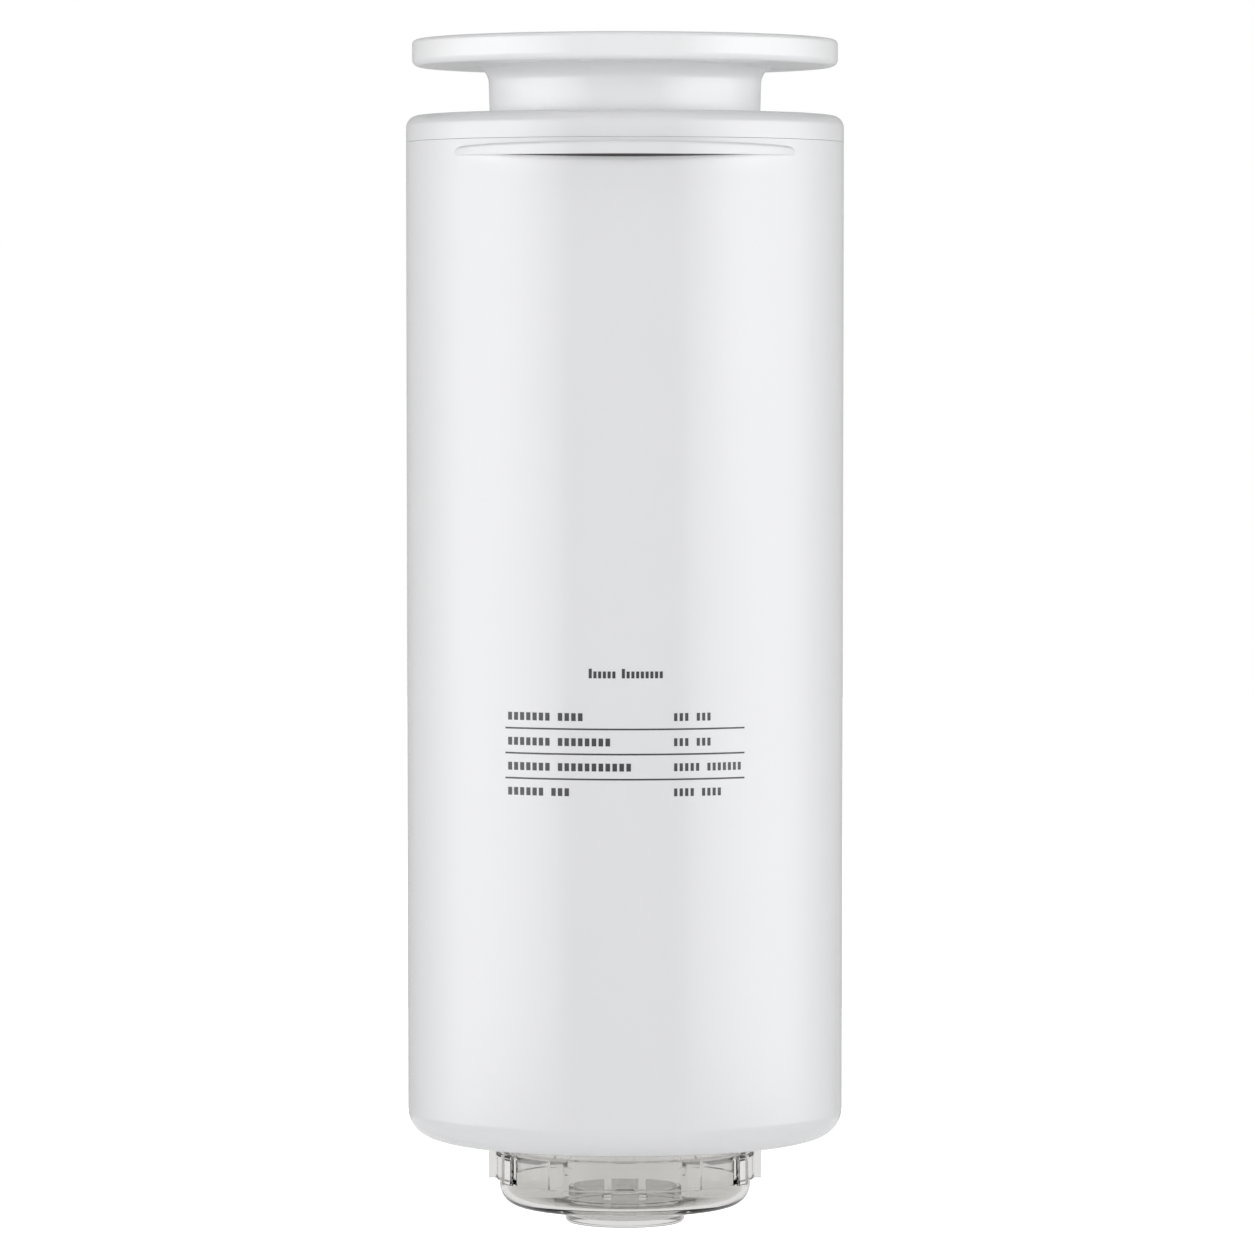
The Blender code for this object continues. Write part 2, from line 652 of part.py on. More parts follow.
def port_core(carrier):
    """The stepped core: nozzle below its flange, brine and tube spigots above it."""
    groove_half = SEAL_RADIUS + FIT_GAP
    brine_inside = BRINE_SPIGOT_RADIUS - BRINE_SPIGOT_WALL
    brine_top = CORE_TOP + BRINE_SPIGOT_HEIGHT
    spigot_top = CORE_TOP + TUBE_SPIGOT_HEIGHT
    core = turned(
        "port_core",
        outline(
            (PERMEATE_BORE, spigot_top),
            (PERMEATE_BORE, NOZZLE_RECESS),
            (NOZZLE_RADIUS - NOZZLE_CHAMFER, NOZZLE_RECESS),
            (NOZZLE_RADIUS, NOZZLE_RECESS + NOZZLE_CHAMFER),
            *reversed(groove(NOZZLE_RADIUS, NOZZLE_SEAL_LOW, SEAL_GROOVE_DEPTH, NOZZLE_SEAL_SECTION)),
            *reversed(groove(NOZZLE_RADIUS, NOZZLE_SEAL_HIGH, SEAL_GROOVE_DEPTH, NOZZLE_SEAL_SECTION)),
            (NOZZLE_RADIUS, CORE_SEAT),
            (CORE_SEAL_CIRCLE - groove_half, CORE_SEAT),
            (CORE_SEAL_CIRCLE - groove_half, CORE_SEAT + SEAL_GROOVE_DEPTH),
            (CORE_SEAL_CIRCLE + groove_half, CORE_SEAT + SEAL_GROOVE_DEPTH),
            (CORE_SEAL_CIRCLE + groove_half, CORE_SEAT),
            (CORE_FLANGE_RADIUS, CORE_SEAT),
            (CORE_FLANGE_RADIUS, CORE_TOP),
            (BRINE_SPIGOT_RADIUS, CORE_TOP),
            *reversed(groove(BRINE_SPIGOT_RADIUS, BRINE_SEAL_HEIGHT, SEAL_GROOVE_DEPTH, SEAL_RADIUS)),
            (BRINE_SPIGOT_RADIUS, brine_top),
            (brine_inside, brine_top),
            (brine_inside, CORE_TOP),
            (TUBE_SPIGOT_RADIUS, CORE_TOP),
            *reversed(groove(TUBE_SPIGOT_RADIUS, TUBE_SEAL_LOW, SEAL_GROOVE_DEPTH, SEAL_RADIUS)),
            *reversed(groove(TUBE_SPIGOT_RADIUS, TUBE_SEAL_HIGH, SEAL_GROOVE_DEPTH, SEAL_RADIUS)),
            (TUBE_SPIGOT_RADIUS, spigot_top),
        ),
        INNER_STEPS,
        carrier=carrier,
        material=finish("port_core", WHITE, 0.35),
    )
    channel_circle = (TUBE_SPIGOT_RADIUS + NOZZLE_RADIUS - SEAL_GROOVE_DEPTH) / 2
    places = [(channel_circle, math.tau * index / BRINE_CHANNELS) for index in range(BRINE_CHANNELS)]
    channels = rods(
        "brine_channel_cutter",
        places,
        BRINE_CHANNEL_RADIUS,
        NOZZLE_RECESS - JOIN_DEPTH,
        CORE_TOP + JOIN_DEPTH,
    )
    combine(core, channels, "DIFFERENCE")
    return core


def brine_cup(carrier):
    """The cup that holds the roll's lower end off its floor and takes its brine."""
    collar_inside = BRINE_SPIGOT_RADIUS + FIT_GAP
    collar_outside = collar_inside + CUP_COLLAR_WALL
    inside = CUP_RADIUS - CUP_WALL
    cup_top = ROLL_BASE + CUP_OVERLAP
    cup = turned(
        "brine_cup",
        outline(
            (collar_inside, CUP_FLOOR_TOP),
            (collar_inside, CUP_SEAT),
            (collar_outside, CUP_SEAT),
            (collar_outside, CUP_FLOOR_BASE),
            (CUP_RADIUS, CUP_FLOOR_BASE),
            (CUP_RADIUS, cup_top),
            (inside, cup_top),
            (inside, CUP_FLOOR_TOP),
        ),
        INNER_STEPS,
        carrier=carrier,
        material=finish("brine_cup", GREY, 0.40),
    )
    ribs = radial_bars(
        "cup_rib_form",
        CUP_RIBS,
        collar_outside,
        inside + CUP_WALL / 2,
        RIB_WIDTH,
        CUP_FLOOR_TOP - JOIN_DEPTH,
        CUP_FLOOR_TOP + CUP_RIB_HEIGHT,
    )
    combine(cup, ribs, "UNION")
    return cup


def spiral_cutter(name, low, high):
    """An upright ribbon that winds outwards, for the gap between turns at a roll's end."""
    inner = TUBE_RADIUS + ROLL_TURN_PITCH / 2
    outer = ROLL_RADIUS - ROLL_TURN_PITCH / 2
    turns = (outer - inner) / ROLL_TURN_PITCH
    steps = math.ceil(math.tau * turns / ROLL_STEP)
    half = ROLL_GROOVE_WIDTH / 2
    sections = []
    for step in range(steps + 1):
        turn = turns * step / steps
        angle = math.tau * turn
        radius = inner + ROLL_TURN_PITCH * turn
        sections.append(
            [
                polar(radius - half, angle, low),
                polar(radius + half, angle, low),
                polar(radius + half, angle, high),
                polar(radius - half, angle, high),
            ]
        )
    return lofted(name, sections)


def membrane_roll(carrier):
    """The wound leaves as one solid, with the spiral of their edges at both ends."""
    inside = TUBE_RADIUS + FIT_GAP
    roll = turned(
        "membrane_roll",
        outline(
            (inside, ROLL_TOP),
            (inside, ROLL_BASE),
            (ROLL_RADIUS, ROLL_BASE),
            (ROLL_RADIUS, ROLL_TOP),
        ),
        INNER_STEPS,
        carrier=carrier,
        material=finish("membrane_roll", CREAM, 0.75),
    )
    ends = (
        ("lower_spiral_cutter", ROLL_BASE - JOIN_DEPTH, ROLL_BASE + ROLL_GROOVE_DEPTH),
        ("upper_spiral_cutter", ROLL_TOP - ROLL_GROOVE_DEPTH, ROLL_TOP + JOIN_DEPTH),
    )
    for name, low, high in ends:
        combine(roll, spiral_cutter(name, low, high), "DIFFERENCE")
    return roll


def roll_wrap(carrier):
    """The tape sleeve round the roll."""
    inside = WRAP_RADIUS - WRAP_THICKNESS
    return turned(
        "roll_wrap",
        outline((inside, ROLL_TOP), (inside, ROLL_BASE), (WRAP_RADIUS, ROLL_BASE), (WRAP_RADIUS, ROLL_TOP)),
        INNER_STEPS,
        carrier=carrier,
        material=finish("roll_wrap", PALE_BLUE, 0.50),
    )


def upper_end_ring(carrier):
    """The spoked ring on the roll's upper end, with lugs that centre it in the shell."""
    hub_inside = TUBE_RADIUS + FIT_GAP
    hub_outside = hub_inside + END_RING_HUB_WALL
    rim_inside = WRAP_RADIUS + FIT_GAP
    top = END_RING_SEAT + END_RING_THICKNESS
    ring = turned(
        "upper_end_ring",
        outline(
            (rim_inside, top),
            (rim_inside, ROLL_TOP - END_RING_OVERLAP),
            (CUP_RADIUS, ROLL_TOP - END_RING_OVERLAP),
            (CUP_RADIUS, top),
        ),
        INNER_STEPS,
        carrier=carrier,
        material=finish("upper_end_ring", GREY, 0.40),
    )
    hub = turned(
        "end_ring_hub_form",
        outline((hub_inside, top), (hub_inside, END_RING_SEAT), (hub_outside, END_RING_SEAT), (hub_outside, top)),
        INNER_STEPS,
    )
    spokes = radial_bars(
        "end_ring_spoke_form",
        END_RING_SPOKES,
        hub_outside - JOIN_DEPTH,
        rim_inside + JOIN_DEPTH,
        RIB_WIDTH,
        END_RING_SEAT,
        top - JOIN_DEPTH,
    )
    lugs = radial_bars(
        "centring_lug_form",
        CENTRING_LUGS,
        CUP_RADIUS - CUP_WALL / 2,
        BORE_RADIUS - FIT_GAP - CENTRING_LUG_WIDTH**2 / BORE_RADIUS / 8,
        CENTRING_LUG_WIDTH,
        END_RING_SEAT,
        top - JOIN_DEPTH,
        start=math.pi / 2,
    )
    for form in (spokes, hub, lugs):
        combine(ring, form, "UNION")
    return ring


def permeate_tube(carrier):
    """The central tube, cross-drilled in rows inside the roll."""
    tube = turned(
        "permeate_tube",
        outline(
            (TUBE_BORE, TUBE_TOP),
            (TUBE_BORE, TUBE_BASE),
            (TUBE_RADIUS, TUBE_BASE),
            (TUBE_RADIUS, TUBE_TOP),
        ),
        INNER_STEPS,
        carrier=carrier,
        material=finish("permeate_tube", WHITE, 0.40),
    )
    drills = bmesh.new()
    spacing = (ROLL_TOP - ROLL_BASE) / TUBE_HOLE_ROWS
    for row in range(TUBE_HOLE_ROWS):
        height = ROLL_BASE + spacing * (row + 0.5)
        turn = Matrix.Rotation(math.pi / 2 * (row % 2), 4, "Z")
        lying = Matrix.Rotation(math.pi / 2, 4, "Y")
        bmesh.ops.create_cone(
            drills,
            cap_ends=True,
            segments=HOLE_SIDES,
            radius1=TUBE_HOLE_RADIUS,
            radius2=TUBE_HOLE_RADIUS,
            depth=2 * (TUBE_RADIUS + JOIN_DEPTH),
            matrix=Matrix.Translation((0.0, 0.0, height)) @ turn @ lying,
        )
    combine(tube, solid("tube_hole_cutter", drills), "DIFFERENCE")
    return tube


def tube_plug(carrier):
    """The plug that closes the tube's upper end."""
    seat = TUBE_TOP + FIT_GAP
    return turned(
        "tube_plug",
        outline(
            (0.0, PLUG_TOP),
            (0.0, seat - PLUG_SPIGOT_LENGTH),
            (TUBE_SPIGOT_RADIUS, seat - PLUG_SPIGOT_LENGTH),
            *reversed(groove(TUBE_SPIGOT_RADIUS, PLUG_SEAL_HEIGHT, SEAL_GROOVE_DEPTH, SEAL_RADIUS)),
            (TUBE_SPIGOT_RADIUS, seat),
            (TUBE_RADIUS, seat),
            (TUBE_RADIUS, PLUG_TOP),
        ),
        INNER_STEPS,
        carrier=carrier,
        material=finish("tube_plug", GREY, 0.40),
    )


def seals(carrier, cap_carrier):
    """Every seal ring, each between the groove it lies in and the wall it meets."""
    rubber = finish("seal_rubber", BLACK, 0.45)
    nozzle_circle = NOZZLE_RADIUS + SEAL_PROUD - NOZZLE_SEAL_SECTION
    tube_circle = TUBE_SPIGOT_RADIUS - SEAL_RADIUS
    brine_circle = BRINE_SPIGOT_RADIUS - SEAL_RADIUS
    flange_height = CORE_SEAT + SEAL_RADIUS
    cap_circle = SOCKET_RADIUS - FIT_GAP - CAP_SEAL_RADIUS
    rows = (
        ("nozzle_seal_lower", nozzle_circle, NOZZLE_SEAL_LOW, NOZZLE_SEAL_SECTION, carrier),
        ("nozzle_seal_upper", nozzle_circle, NOZZLE_SEAL_HIGH, NOZZLE_SEAL_SECTION, carrier),
        ("core_flange_seal", CORE_SEAL_CIRCLE, flange_height, SEAL_RADIUS, carrier),
        ("brine_seal", brine_circle, BRINE_SEAL_HEIGHT, SEAL_RADIUS, carrier),
        ("tube_seal_lower", tube_circle, TUBE_SEAL_LOW, SEAL_RADIUS, carrier),
        ("tube_seal_upper", tube_circle, TUBE_SEAL_HIGH, SEAL_RADIUS, carrier),
        ("plug_seal", tube_circle, PLUG_SEAL_HEIGHT, SEAL_RADIUS, carrier),
        ("cap_seal", cap_circle, CAP_SEAL_HEIGHT, CAP_SEAL_RADIUS, cap_carrier),
    )
    for name, radius, height, section, owner in rows:
        steps = CAP_STEPS if owner == cap_carrier else INNER_STEPS
        seal_ring(name, radius, height, section, steps, owner, rubber)


def frame_empty(name, parent=None):
    made = bpy.data.objects.new(name, None)
    made.parent = parent
    bpy.context.scene.collection.objects.link(made)
    return made


def main():
    empty_scene()
    cartridge = frame_empty("cartridge_axis")
    cap_axis = frame_empty("cap_axis", cartridge)
    housing_shell(cartridge)
    end_lid(cartridge)
    handle_knob(cartridge)
    port_core(cartridge)
    brine_cup(cartridge)
    membrane_roll(cartridge)
    roll_wrap(cartridge)
    upper_end_ring(cartridge)
    permeate_tube(cartridge)
    tube_plug(cartridge)
    transit_cap(cap_axis)
    seals(cartridge, cap_axis)


main()
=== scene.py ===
"""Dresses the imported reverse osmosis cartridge.

The white housing, its lid and pull knob, the clear screw cap, the port core and its seal
rings become smooth meshes of the same form. The print becomes plain marks, and each part
inside gets a procedural finish. Lengths are in metres, in the frame's own axes: +Z is up
and the catch ledge faces -Y.
"""

import math

import bmesh
import bpy
from mathutils import Matrix, Vector


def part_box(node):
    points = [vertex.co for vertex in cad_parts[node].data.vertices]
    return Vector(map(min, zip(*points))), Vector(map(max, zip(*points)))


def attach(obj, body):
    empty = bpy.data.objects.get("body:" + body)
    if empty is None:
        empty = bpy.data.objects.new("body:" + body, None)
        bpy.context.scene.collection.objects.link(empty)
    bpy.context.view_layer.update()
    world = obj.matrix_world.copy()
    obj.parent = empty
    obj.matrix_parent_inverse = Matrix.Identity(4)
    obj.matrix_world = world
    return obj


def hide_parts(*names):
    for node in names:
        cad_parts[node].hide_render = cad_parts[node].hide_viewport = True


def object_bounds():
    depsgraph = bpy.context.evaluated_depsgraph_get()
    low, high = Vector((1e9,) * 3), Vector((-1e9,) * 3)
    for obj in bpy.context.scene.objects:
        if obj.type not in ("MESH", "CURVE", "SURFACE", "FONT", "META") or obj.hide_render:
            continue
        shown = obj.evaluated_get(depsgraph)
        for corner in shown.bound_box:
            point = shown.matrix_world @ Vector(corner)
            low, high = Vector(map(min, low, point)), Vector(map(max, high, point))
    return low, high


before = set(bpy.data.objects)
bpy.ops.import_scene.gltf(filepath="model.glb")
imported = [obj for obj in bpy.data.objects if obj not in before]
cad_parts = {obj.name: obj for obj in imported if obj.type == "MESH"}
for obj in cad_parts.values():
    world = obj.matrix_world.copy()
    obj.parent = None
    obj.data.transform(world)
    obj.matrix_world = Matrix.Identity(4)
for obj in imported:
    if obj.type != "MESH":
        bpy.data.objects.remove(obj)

bl_info = {
    "name": "Reverse Osmosis Cartridge",
    "version": (1, 0, 0),
    "blender": (4, 5, 0),
    "location": "View3D > Sidebar > Cartridge",
    "description": "Builds the visible pieces and finishes of a reverse osmosis cartridge",
    "category": "Add Mesh",
}

CAD_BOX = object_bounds()

# Places that the frame gives
SHELL_LOW, SHELL_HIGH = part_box("housing_shell")
LID_LOW, LID_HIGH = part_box("end_lid")
KNOB_LOW, KNOB_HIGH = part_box("handle_knob")
CAP_LOW, CAP_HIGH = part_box("transit_cap")
CORE_LOW, CORE_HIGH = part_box("port_core")
TUBE_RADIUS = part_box("permeate_tube")[1].x

# How finely the meshes are divided
TURN_STEPS = 256
INNER_STEPS = 96
ARC_STEP = math.radians(11.25)
ARC_ROUNDING = 0.01
MIN_ARC_STEPS = 3
FILLET_LIMIT = 0.98
LEDGE_POINTS = 20
LEDGE_END_STEPS = 3
LEDGE_END_SPAN = 4
GAP_STEPS = 72
MARK_DIVISIONS = 3
RULE_DIVISIONS = 48
HOLE_SIDES = 32
SEAL_SIDES = 24
RIB_BEVEL_SEGMENTS = 3
THREAD_RESOLUTION = 96
THREAD_TIP = 0.05
WELD = 0.000001
OVERCUT = 0.0006
SHARP_ANGLE = math.radians(32.0)

# Finishes, and how often a ray may cross clear plastic before it goes straight on
GLOSS_ROUGHNESS = 0.17
CORE_ROUGHNESS = 0.36
FLOOR_ROUGHNESS = 0.9
PLASTIC_IOR = 1.47
RUBBER_IOR = 1.52
CLEAR_IOR = 1.22
CLEAR_ROUGHNESS = 0.03
CLEAR_SHADOW = (0.90, 0.90, 0.89, 1.0)
TRAPPED_DEPTH = 8.0

NOZZLE_SEALS = ("nozzle_seal_lower", "nozzle_seal_upper")
INNER_SEALS = ("core_flange_seal", "brine_seal", "tube_seal_lower", "tube_seal_upper", "plug_seal")

# What reflections see round the object: degrees off the front, and brightness
REFLECTIONS = (
    (0.0, 1.0),
    (30.2, 1.1),
    (30.8, 2.1),
    (38.2, 3.1),
    (49.7, 4.0),
    (61.3, 4.6),
    (76.7, 4.7),
    (94.5, 3.9),
    (103.8, 2.7),
    (115.5, 1.75),
    (129.3, 1.05),
    (142.2, 0.80),
    (149.0, 0.68),
    (159.7, 0.52),
    (175.0, 0.45),
    (180.0, 0.5),
)

# Way to the reflector, against its radius, over which glancing reflections are dimmed
GLANCE_START = 0.960
GLANCE_END = 0.982

# How many marks the words of the print have, the title's gap between marks against that
# of the rows, and the height of its low marks against the tall ones
TITLE_WORDS = (6, 9)
LEFT_WORDS = ((7, 4), (7, 8), (7, 11), (6, 3))
RIGHT_WORDS = ((3, 3), (3, 3), (5, 7), (4, 4))
TITLE_GAP = 0.7
TITLE_LOW = 0.72


def length(name, default, description):
    return bpy.props.FloatProperty(
        name=name, description=description, default=default, min=0.0, precision=5, unit="LENGTH"
    )


def height(name, default, description):
    return bpy.props.FloatProperty(
        name=name, description=description, default=default, precision=5, unit="LENGTH"
    )


def angle(name, degrees, description):
    return bpy.props.FloatProperty(
        name=name, description=description, default=math.radians(degrees), unit="ROTATION"
    )


def number(name, default, description):
    return bpy.props.FloatProperty(name=name, description=description, default=default)


def share(name, default, description):
    return bpy.props.FloatProperty(
        name=name, description=description, default=default, min=0.0, max=1.0, subtype="FACTOR"
    )


def count(name, default, description):
    return bpy.props.IntProperty(name=name, description=description, default=default, min=1)


def colour(name, default, description):
    return bpy.props.FloatVectorProperty(
        name=name, description=description, default=default, min=0.0, max=1.0, subtype="COLOR"
    )


def group(name, kind, description):
    return bpy.props.PointerProperty(name=name, description=description, type=kind)


class HousingSizes(bpy.types.PropertyGroup):
    """Sizes of the housing shell, its port socket and its catch ledge."""

    draft: length("Draft", 0.0002, "How much narrower the wall is at the base")
    wall: length("Wall", 0.0030, "Thickness of the round wall")
    base_round: length("Base round", 0.0070, "Radius between the wall and the base")
    base_wall: length("Base wall", 0.0035, "Thickness of the base and the socket's ceiling")
    rim_round: length("Rim round", 0.00008, "Radius on the rim under the lid")
    ledge_height: length("Ledge height", 0.0031, "Height of the catch ledge at its middle")
    ledge_half_width: length("Ledge half width", 0.0414, "Reach of the ledge to each side")
    ledge_below_seam: length("Ledge below seam", 0.0010, "Wall between the ledge and the rim")
    ledge_round: length("Ledge round", 0.0007, "Radius on the ledge's upper edge")
    ledge_lip: length("Ledge lip", 0.00025, "Radius on the ledge's lower edge")
    # The next four sizes shape a painted shadow under the ledge: a dark strip on the wall that
    # stands in for the shade the ledge casts.
    shadow_half_width: length("Gap half width", 0.0325, "Reach of the dark gap under the ledge")
    shadow_height: length("Gap height", 0.00065, "Height of the dark gap at its middle")
    shadow_depth: share("Gap depth", 0.75, "How far the gap's strip stands out, against the ledge")
    ink_and_shadow_depth: length("Ink depth", 0.00003, "How far the strip stands off the wall at its ends")
    ledge_end_share: share("Ledge end share", 0.62, "Height of the ledge's ends")
    ledge_end_round: length("Ledge end round", 0.0022, "Radius of the ledge's ends seen from ahead")
    fine_round: length("Fine round", 0.0003, "Radius on the hidden edges")
    core_hole: length("Core hole", 0.0133, "Radius of the hole for the port core")
    socket_depth: length("Socket depth", 0.0240, "Depth of the port socket")
    socket_radius: length("Socket radius", 0.0309, "Radius inside the port socket")
    socket_wall: length("Socket wall", 0.0028, "Thickness of the socket's wall")
    socket_chamfer: length("Socket chamfer", 0.0007, "Chamfer at the socket's mouth")
    feed_holes: count("Feed holes", 8, "Holes round the nozzle for the feed water")
    feed_hole_radius: length("Feed hole radius", 0.0022, "Radius of each feed hole")
    feed_circle: length("Feed circle", 0.02545, "Radius of the circle of feed holes")


class LidSizes(bpy.types.PropertyGroup):
    """Sizes of the lid and of the knob that sits in it."""

    seam_gap: length("Seam gap", 0.00005, "Fine gap between the lid and the shell")
    edge_round: length("Edge round", 0.0030, "Radius on the lid's upper edge")
    crown: length("Crown", 0.0008, "Rise of the lid from its edge to its middle")
    spigot_gap: length("Spigot gap", 0.0003, "Clearance round the spigot and the tube")
    fine_round: length("Fine round", 0.0003, "Radius on the small edges")
    wall: length("Wall", 0.0030, "Thickness under the knob's seat")
    seat_depth: length("Seat depth", 0.0015, "Depth of the knob's seat")
    seat_gap: length("Seat gap", 0.00012, "Fine gap round the knob's neck")
    spigot_wall: length("Spigot wall", 0.0025, "Thickness of the spigot in the shell")
    ribs: count("Ribs", 6, "Stiffening ribs under the lid")
    rib_depth: length("Rib depth", 0.0050, "Depth of the ribs")
    locator_depth: length("Locator depth", 0.0080, "Depth of the tube locator")
    locator_wall: length("Locator wall", 0.0025, "Thickness of the tube locator")
    flange_thickness: length("Flange thickness", 0.0066, "Thickness of the knob's flange")
    flange_top_round: length("Flange top round", 0.0012, "Radius on the flange's upper edge")
    flange_edge_round: length("Flange edge round", 0.0018, "Radius on its lower edge")
    neck_radius: length("Neck radius", 0.0338, "Radius of the knob's neck at its top")
    neck_draft: length("Neck draft", 0.0004, "How much narrower the neck is at its base")
    neck_fillet: length("Neck fillet", 0.0040, "Fillet between the neck and the flange")
    knob_wall: length("Knob wall", 0.0028, "Thickness of the knob's walls")
    post_radius: length("Post radius", 0.0045, "Radius of the post inside the knob")
    webs: count("Webs", 6, "Webs inside the knob")
    web_width: length("Web width", 0.0020, "Thickness of webs and ribs")


class CapSizes(bpy.types.PropertyGroup):
    """Sizes of the clear screw cap."""

    neck_radius: length("Neck radius", 0.0297, "Radius of the threaded neck")
    neck_wall: length("Neck wall", 0.0020, "Thickness of the neck")
    groove_depth: length("Groove depth", 0.0008, "Depth of the seal groove")
    groove_half: length("Groove half", 0.0010, "Half the width of the seal groove")
    seal_height: height("Seal height", 0.0013, "Height of the seal's middle")
    seal_section: length("Seal section", 0.0007, "Radius of the seal's section")
    grip_drop: length("Grip drop", 0.0032, "Gap from the housing's base to the grip")
    grip_radius: length("Grip radius", 0.0322, "Radius of the grip between its ribs")
    grip_height: length("Grip height", 0.0074, "Height of the grip")
    grip_round: length("Grip round", 0.0004, "Radius on the grip's rims")
    ribs: count("Ribs", 12, "Ribs round the grip")
    rib_width: length("Rib width", 0.0047, "Width of each rib")
    rib_round: length("Rib round", 0.00035, "Radius on the ribs' edges")
    rib_inset: length("Rib inset", 0.00006, "How far the ribs end short of the grip's rims")
    bowl_radius: length("Bowl radius", 0.0311, "Radius of the bowl")
    bowl_wall: length("Bowl wall", 0.0018, "Thickness of the bowl")
    bowl_depth: length("Bowl depth", 0.0067, "Depth of the bowl below the grip")
    bowl_round: length("Bowl round", 0.0052, "Radius between the bowl's wall and its base")
    boss_radius: length("Boss radius", 0.0148, "Radius of the boss under the bowl")
    boss_round: length("Boss round", 0.0011, "Radius on the boss's lower edge")
    pocket_radius: length("Pocket radius", 0.0140, "Radius outside the pocket's wall")
    pocket_wall: length("Pocket wall", 0.0014, "Thickness of the pocket's wall")
    pocket_rim: length("Pocket rim", 0.0031, "Height of the pocket's wall above the bowl")
    pocket_floor: length("Pocket floor", 0.0016, "Thickness of the pocket's floor")
    notch_width: length("Notch width", 0.0024, "Width of the notches in the pocket's wall")
    notch_angle: angle("Notch angle", 19.0, "Angle of each notch from the cap's middle plane")
    fine_round: length("Fine round", 0.0003, "Radius on the cap's other edges")


class ThreadSizes(bpy.types.PropertyGroup):
    """Sizes of the two-start thread that holds the cap in the socket."""

    starts: count("Starts", 2, "Number of starts")
    pitch: length("Pitch", 0.0040, "Distance between neighbouring ridges")
    turns: number("Turns", 0.55, "Turns of each ridge")
    ridge: length("Ridge", 0.0009, "Height of the ridges")
    root_width: length("Root width", 0.0020, "Width of a ridge at its root")
    crest_width: length("Crest width", 0.0010, "Width of a ridge at its crest")
    sink: length("Sink", 0.0004, "Depth of the ridges' roots in their wall")
    fade: share("Fade", 0.12, "Share of a ridge that fades out at each end")
    socket_start: height("Socket start", 0.0033, "Height where the socket's ridges start")
    cap_start: height("Cap start", 0.0053, "Height where the cap's ridges start")


class CoreSizes(bpy.types.PropertyGroup):
    """Sizes of the port core."""

    nozzle_radius: length("Nozzle radius", 0.0130, "Radius of the nozzle")
    nozzle_chamfer: length("Nozzle chamfer", 0.0010, "Chamfer on the nozzle's end")
    bore: length("Bore", 0.0035, "Radius of the permeate bore")
    channels: count("Channels", 6, "Brine channels round the bore")
    channel_radius: length("Channel radius", 0.0016, "Radius of each brine channel")
    flange_thickness: length("Flange thickness", 0.0032, "Thickness of the core's flange")
    spigot_radius: length("Spigot radius", 0.0170, "Radius of the brine spigot")
    spigot_wall: length("Spigot wall", 0.0025, "Thickness of the brine spigot")
    spigot_height: length("Spigot height", 0.0090, "Height of the brine spigot")
    tube_spigot_radius: length("Tube spigot radius", 0.0062, "Radius of the tube spigot")
    seat: length("Seat", 0.0278, "Height of the core's flange")
    seal_section: length("Seal section", 0.00055, "Radius of the inner seals' section")
    nozzle_section: length("Nozzle section", 0.0008, "Radius of the nozzle seals' section")
    seal_depth: length("Seal depth", 0.0014, "Depth of the seal grooves")
    seal_gap: length("Seal gap", 0.0003, "Clearance beside a seal in its groove")
    edge_round: length("Edge round", 0.0003, "Radius on the core's edges")


class PrintSizes(bpy.types.PropertyGroup):
    """Places and sizes of the printed marks on the housing's front."""

    title_height: height("Title height", 0.1174, "Height of the title's middle")
    first_row: height("First row", 0.10686, "Height of the first row's middle")
    row_pitch: length("Row pitch", 0.00604, "Distance between rows")
    rule_drop: length("Rule drop", 0.0029, "Distance from a row to the rule below it")
    left_column: height("Left column", -0.0296, "Start of the left column, along the wall")
    right_column: height("Right column", 0.0119, "Start of the right column, along the wall")
    rule_half_width: length("Rule half width", 0.0304, "Half the length of the rules")
    rule_thickness: length("Rule thickness", 0.00040, "Thickness of the rules")
    title_shift: height("Title shift", 0.0004, "How far the title stands to the right")
    title_pitch: length("Title pitch", 0.00114, "Distance between the title's marks")
    title_tall: length("Title tall", 0.0023, "Height of the title's tall marks")
    left_pitch: length("Left pitch", 0.00167, "Distance between marks in the left column")
    right_pitch: length("Right pitch", 0.00137, "Distance between marks in the right column")
    mark_gap: length("Mark gap", 0.00056, "Gap between the marks of a word")
    mark_height: length("Mark height", 0.00190, "Height of a mark")
    word_space: length("Word space", 0.00155, "Extra gap between words")
    ink_and_shadow_depth: length("Ink depth", 0.00004, "How far the ink stands off the wall")


class FinishColours(bpy.types.PropertyGroup):
    """Colours of the finishes."""

    white: colour("White", (0.835, 0.838, 0.850), "Housing and lid")
    # The knob's lighter white is painted light: it brightens the neck and the flange's underside,
    # which the flange shades.
    knob: colour("Knob", (0.925, 0.928, 0.938), "Pull knob, a lighter white")
    clear: colour("Clear", (0.725, 0.720, 0.706), "Tint of the clear cap")
    core: colour("Core", (0.800, 0.800, 0.790), "Port core and permeate tube")
    grey: colour("Grey", (0.550, 0.560, 0.570), "Grey mouldings of the element")
    # The rubber colour also darkens the painted shadow strip under the ledge.
    rubber: colour("Rubber", (0.020, 0.020, 0.021), "Seal rings")
    silicone: colour("Silicone", (0.620, 0.620, 0.600), "Seal ring of the clear cap")
    leaves: colour("Leaves", (0.800, 0.780, 0.720), "Wound membrane leaves")
    tape: colour("Tape", (0.550, 0.660, 0.740), "Tape sleeve")
    ink: colour("Ink", (0.030, 0.030, 0.034), "Printed marks")


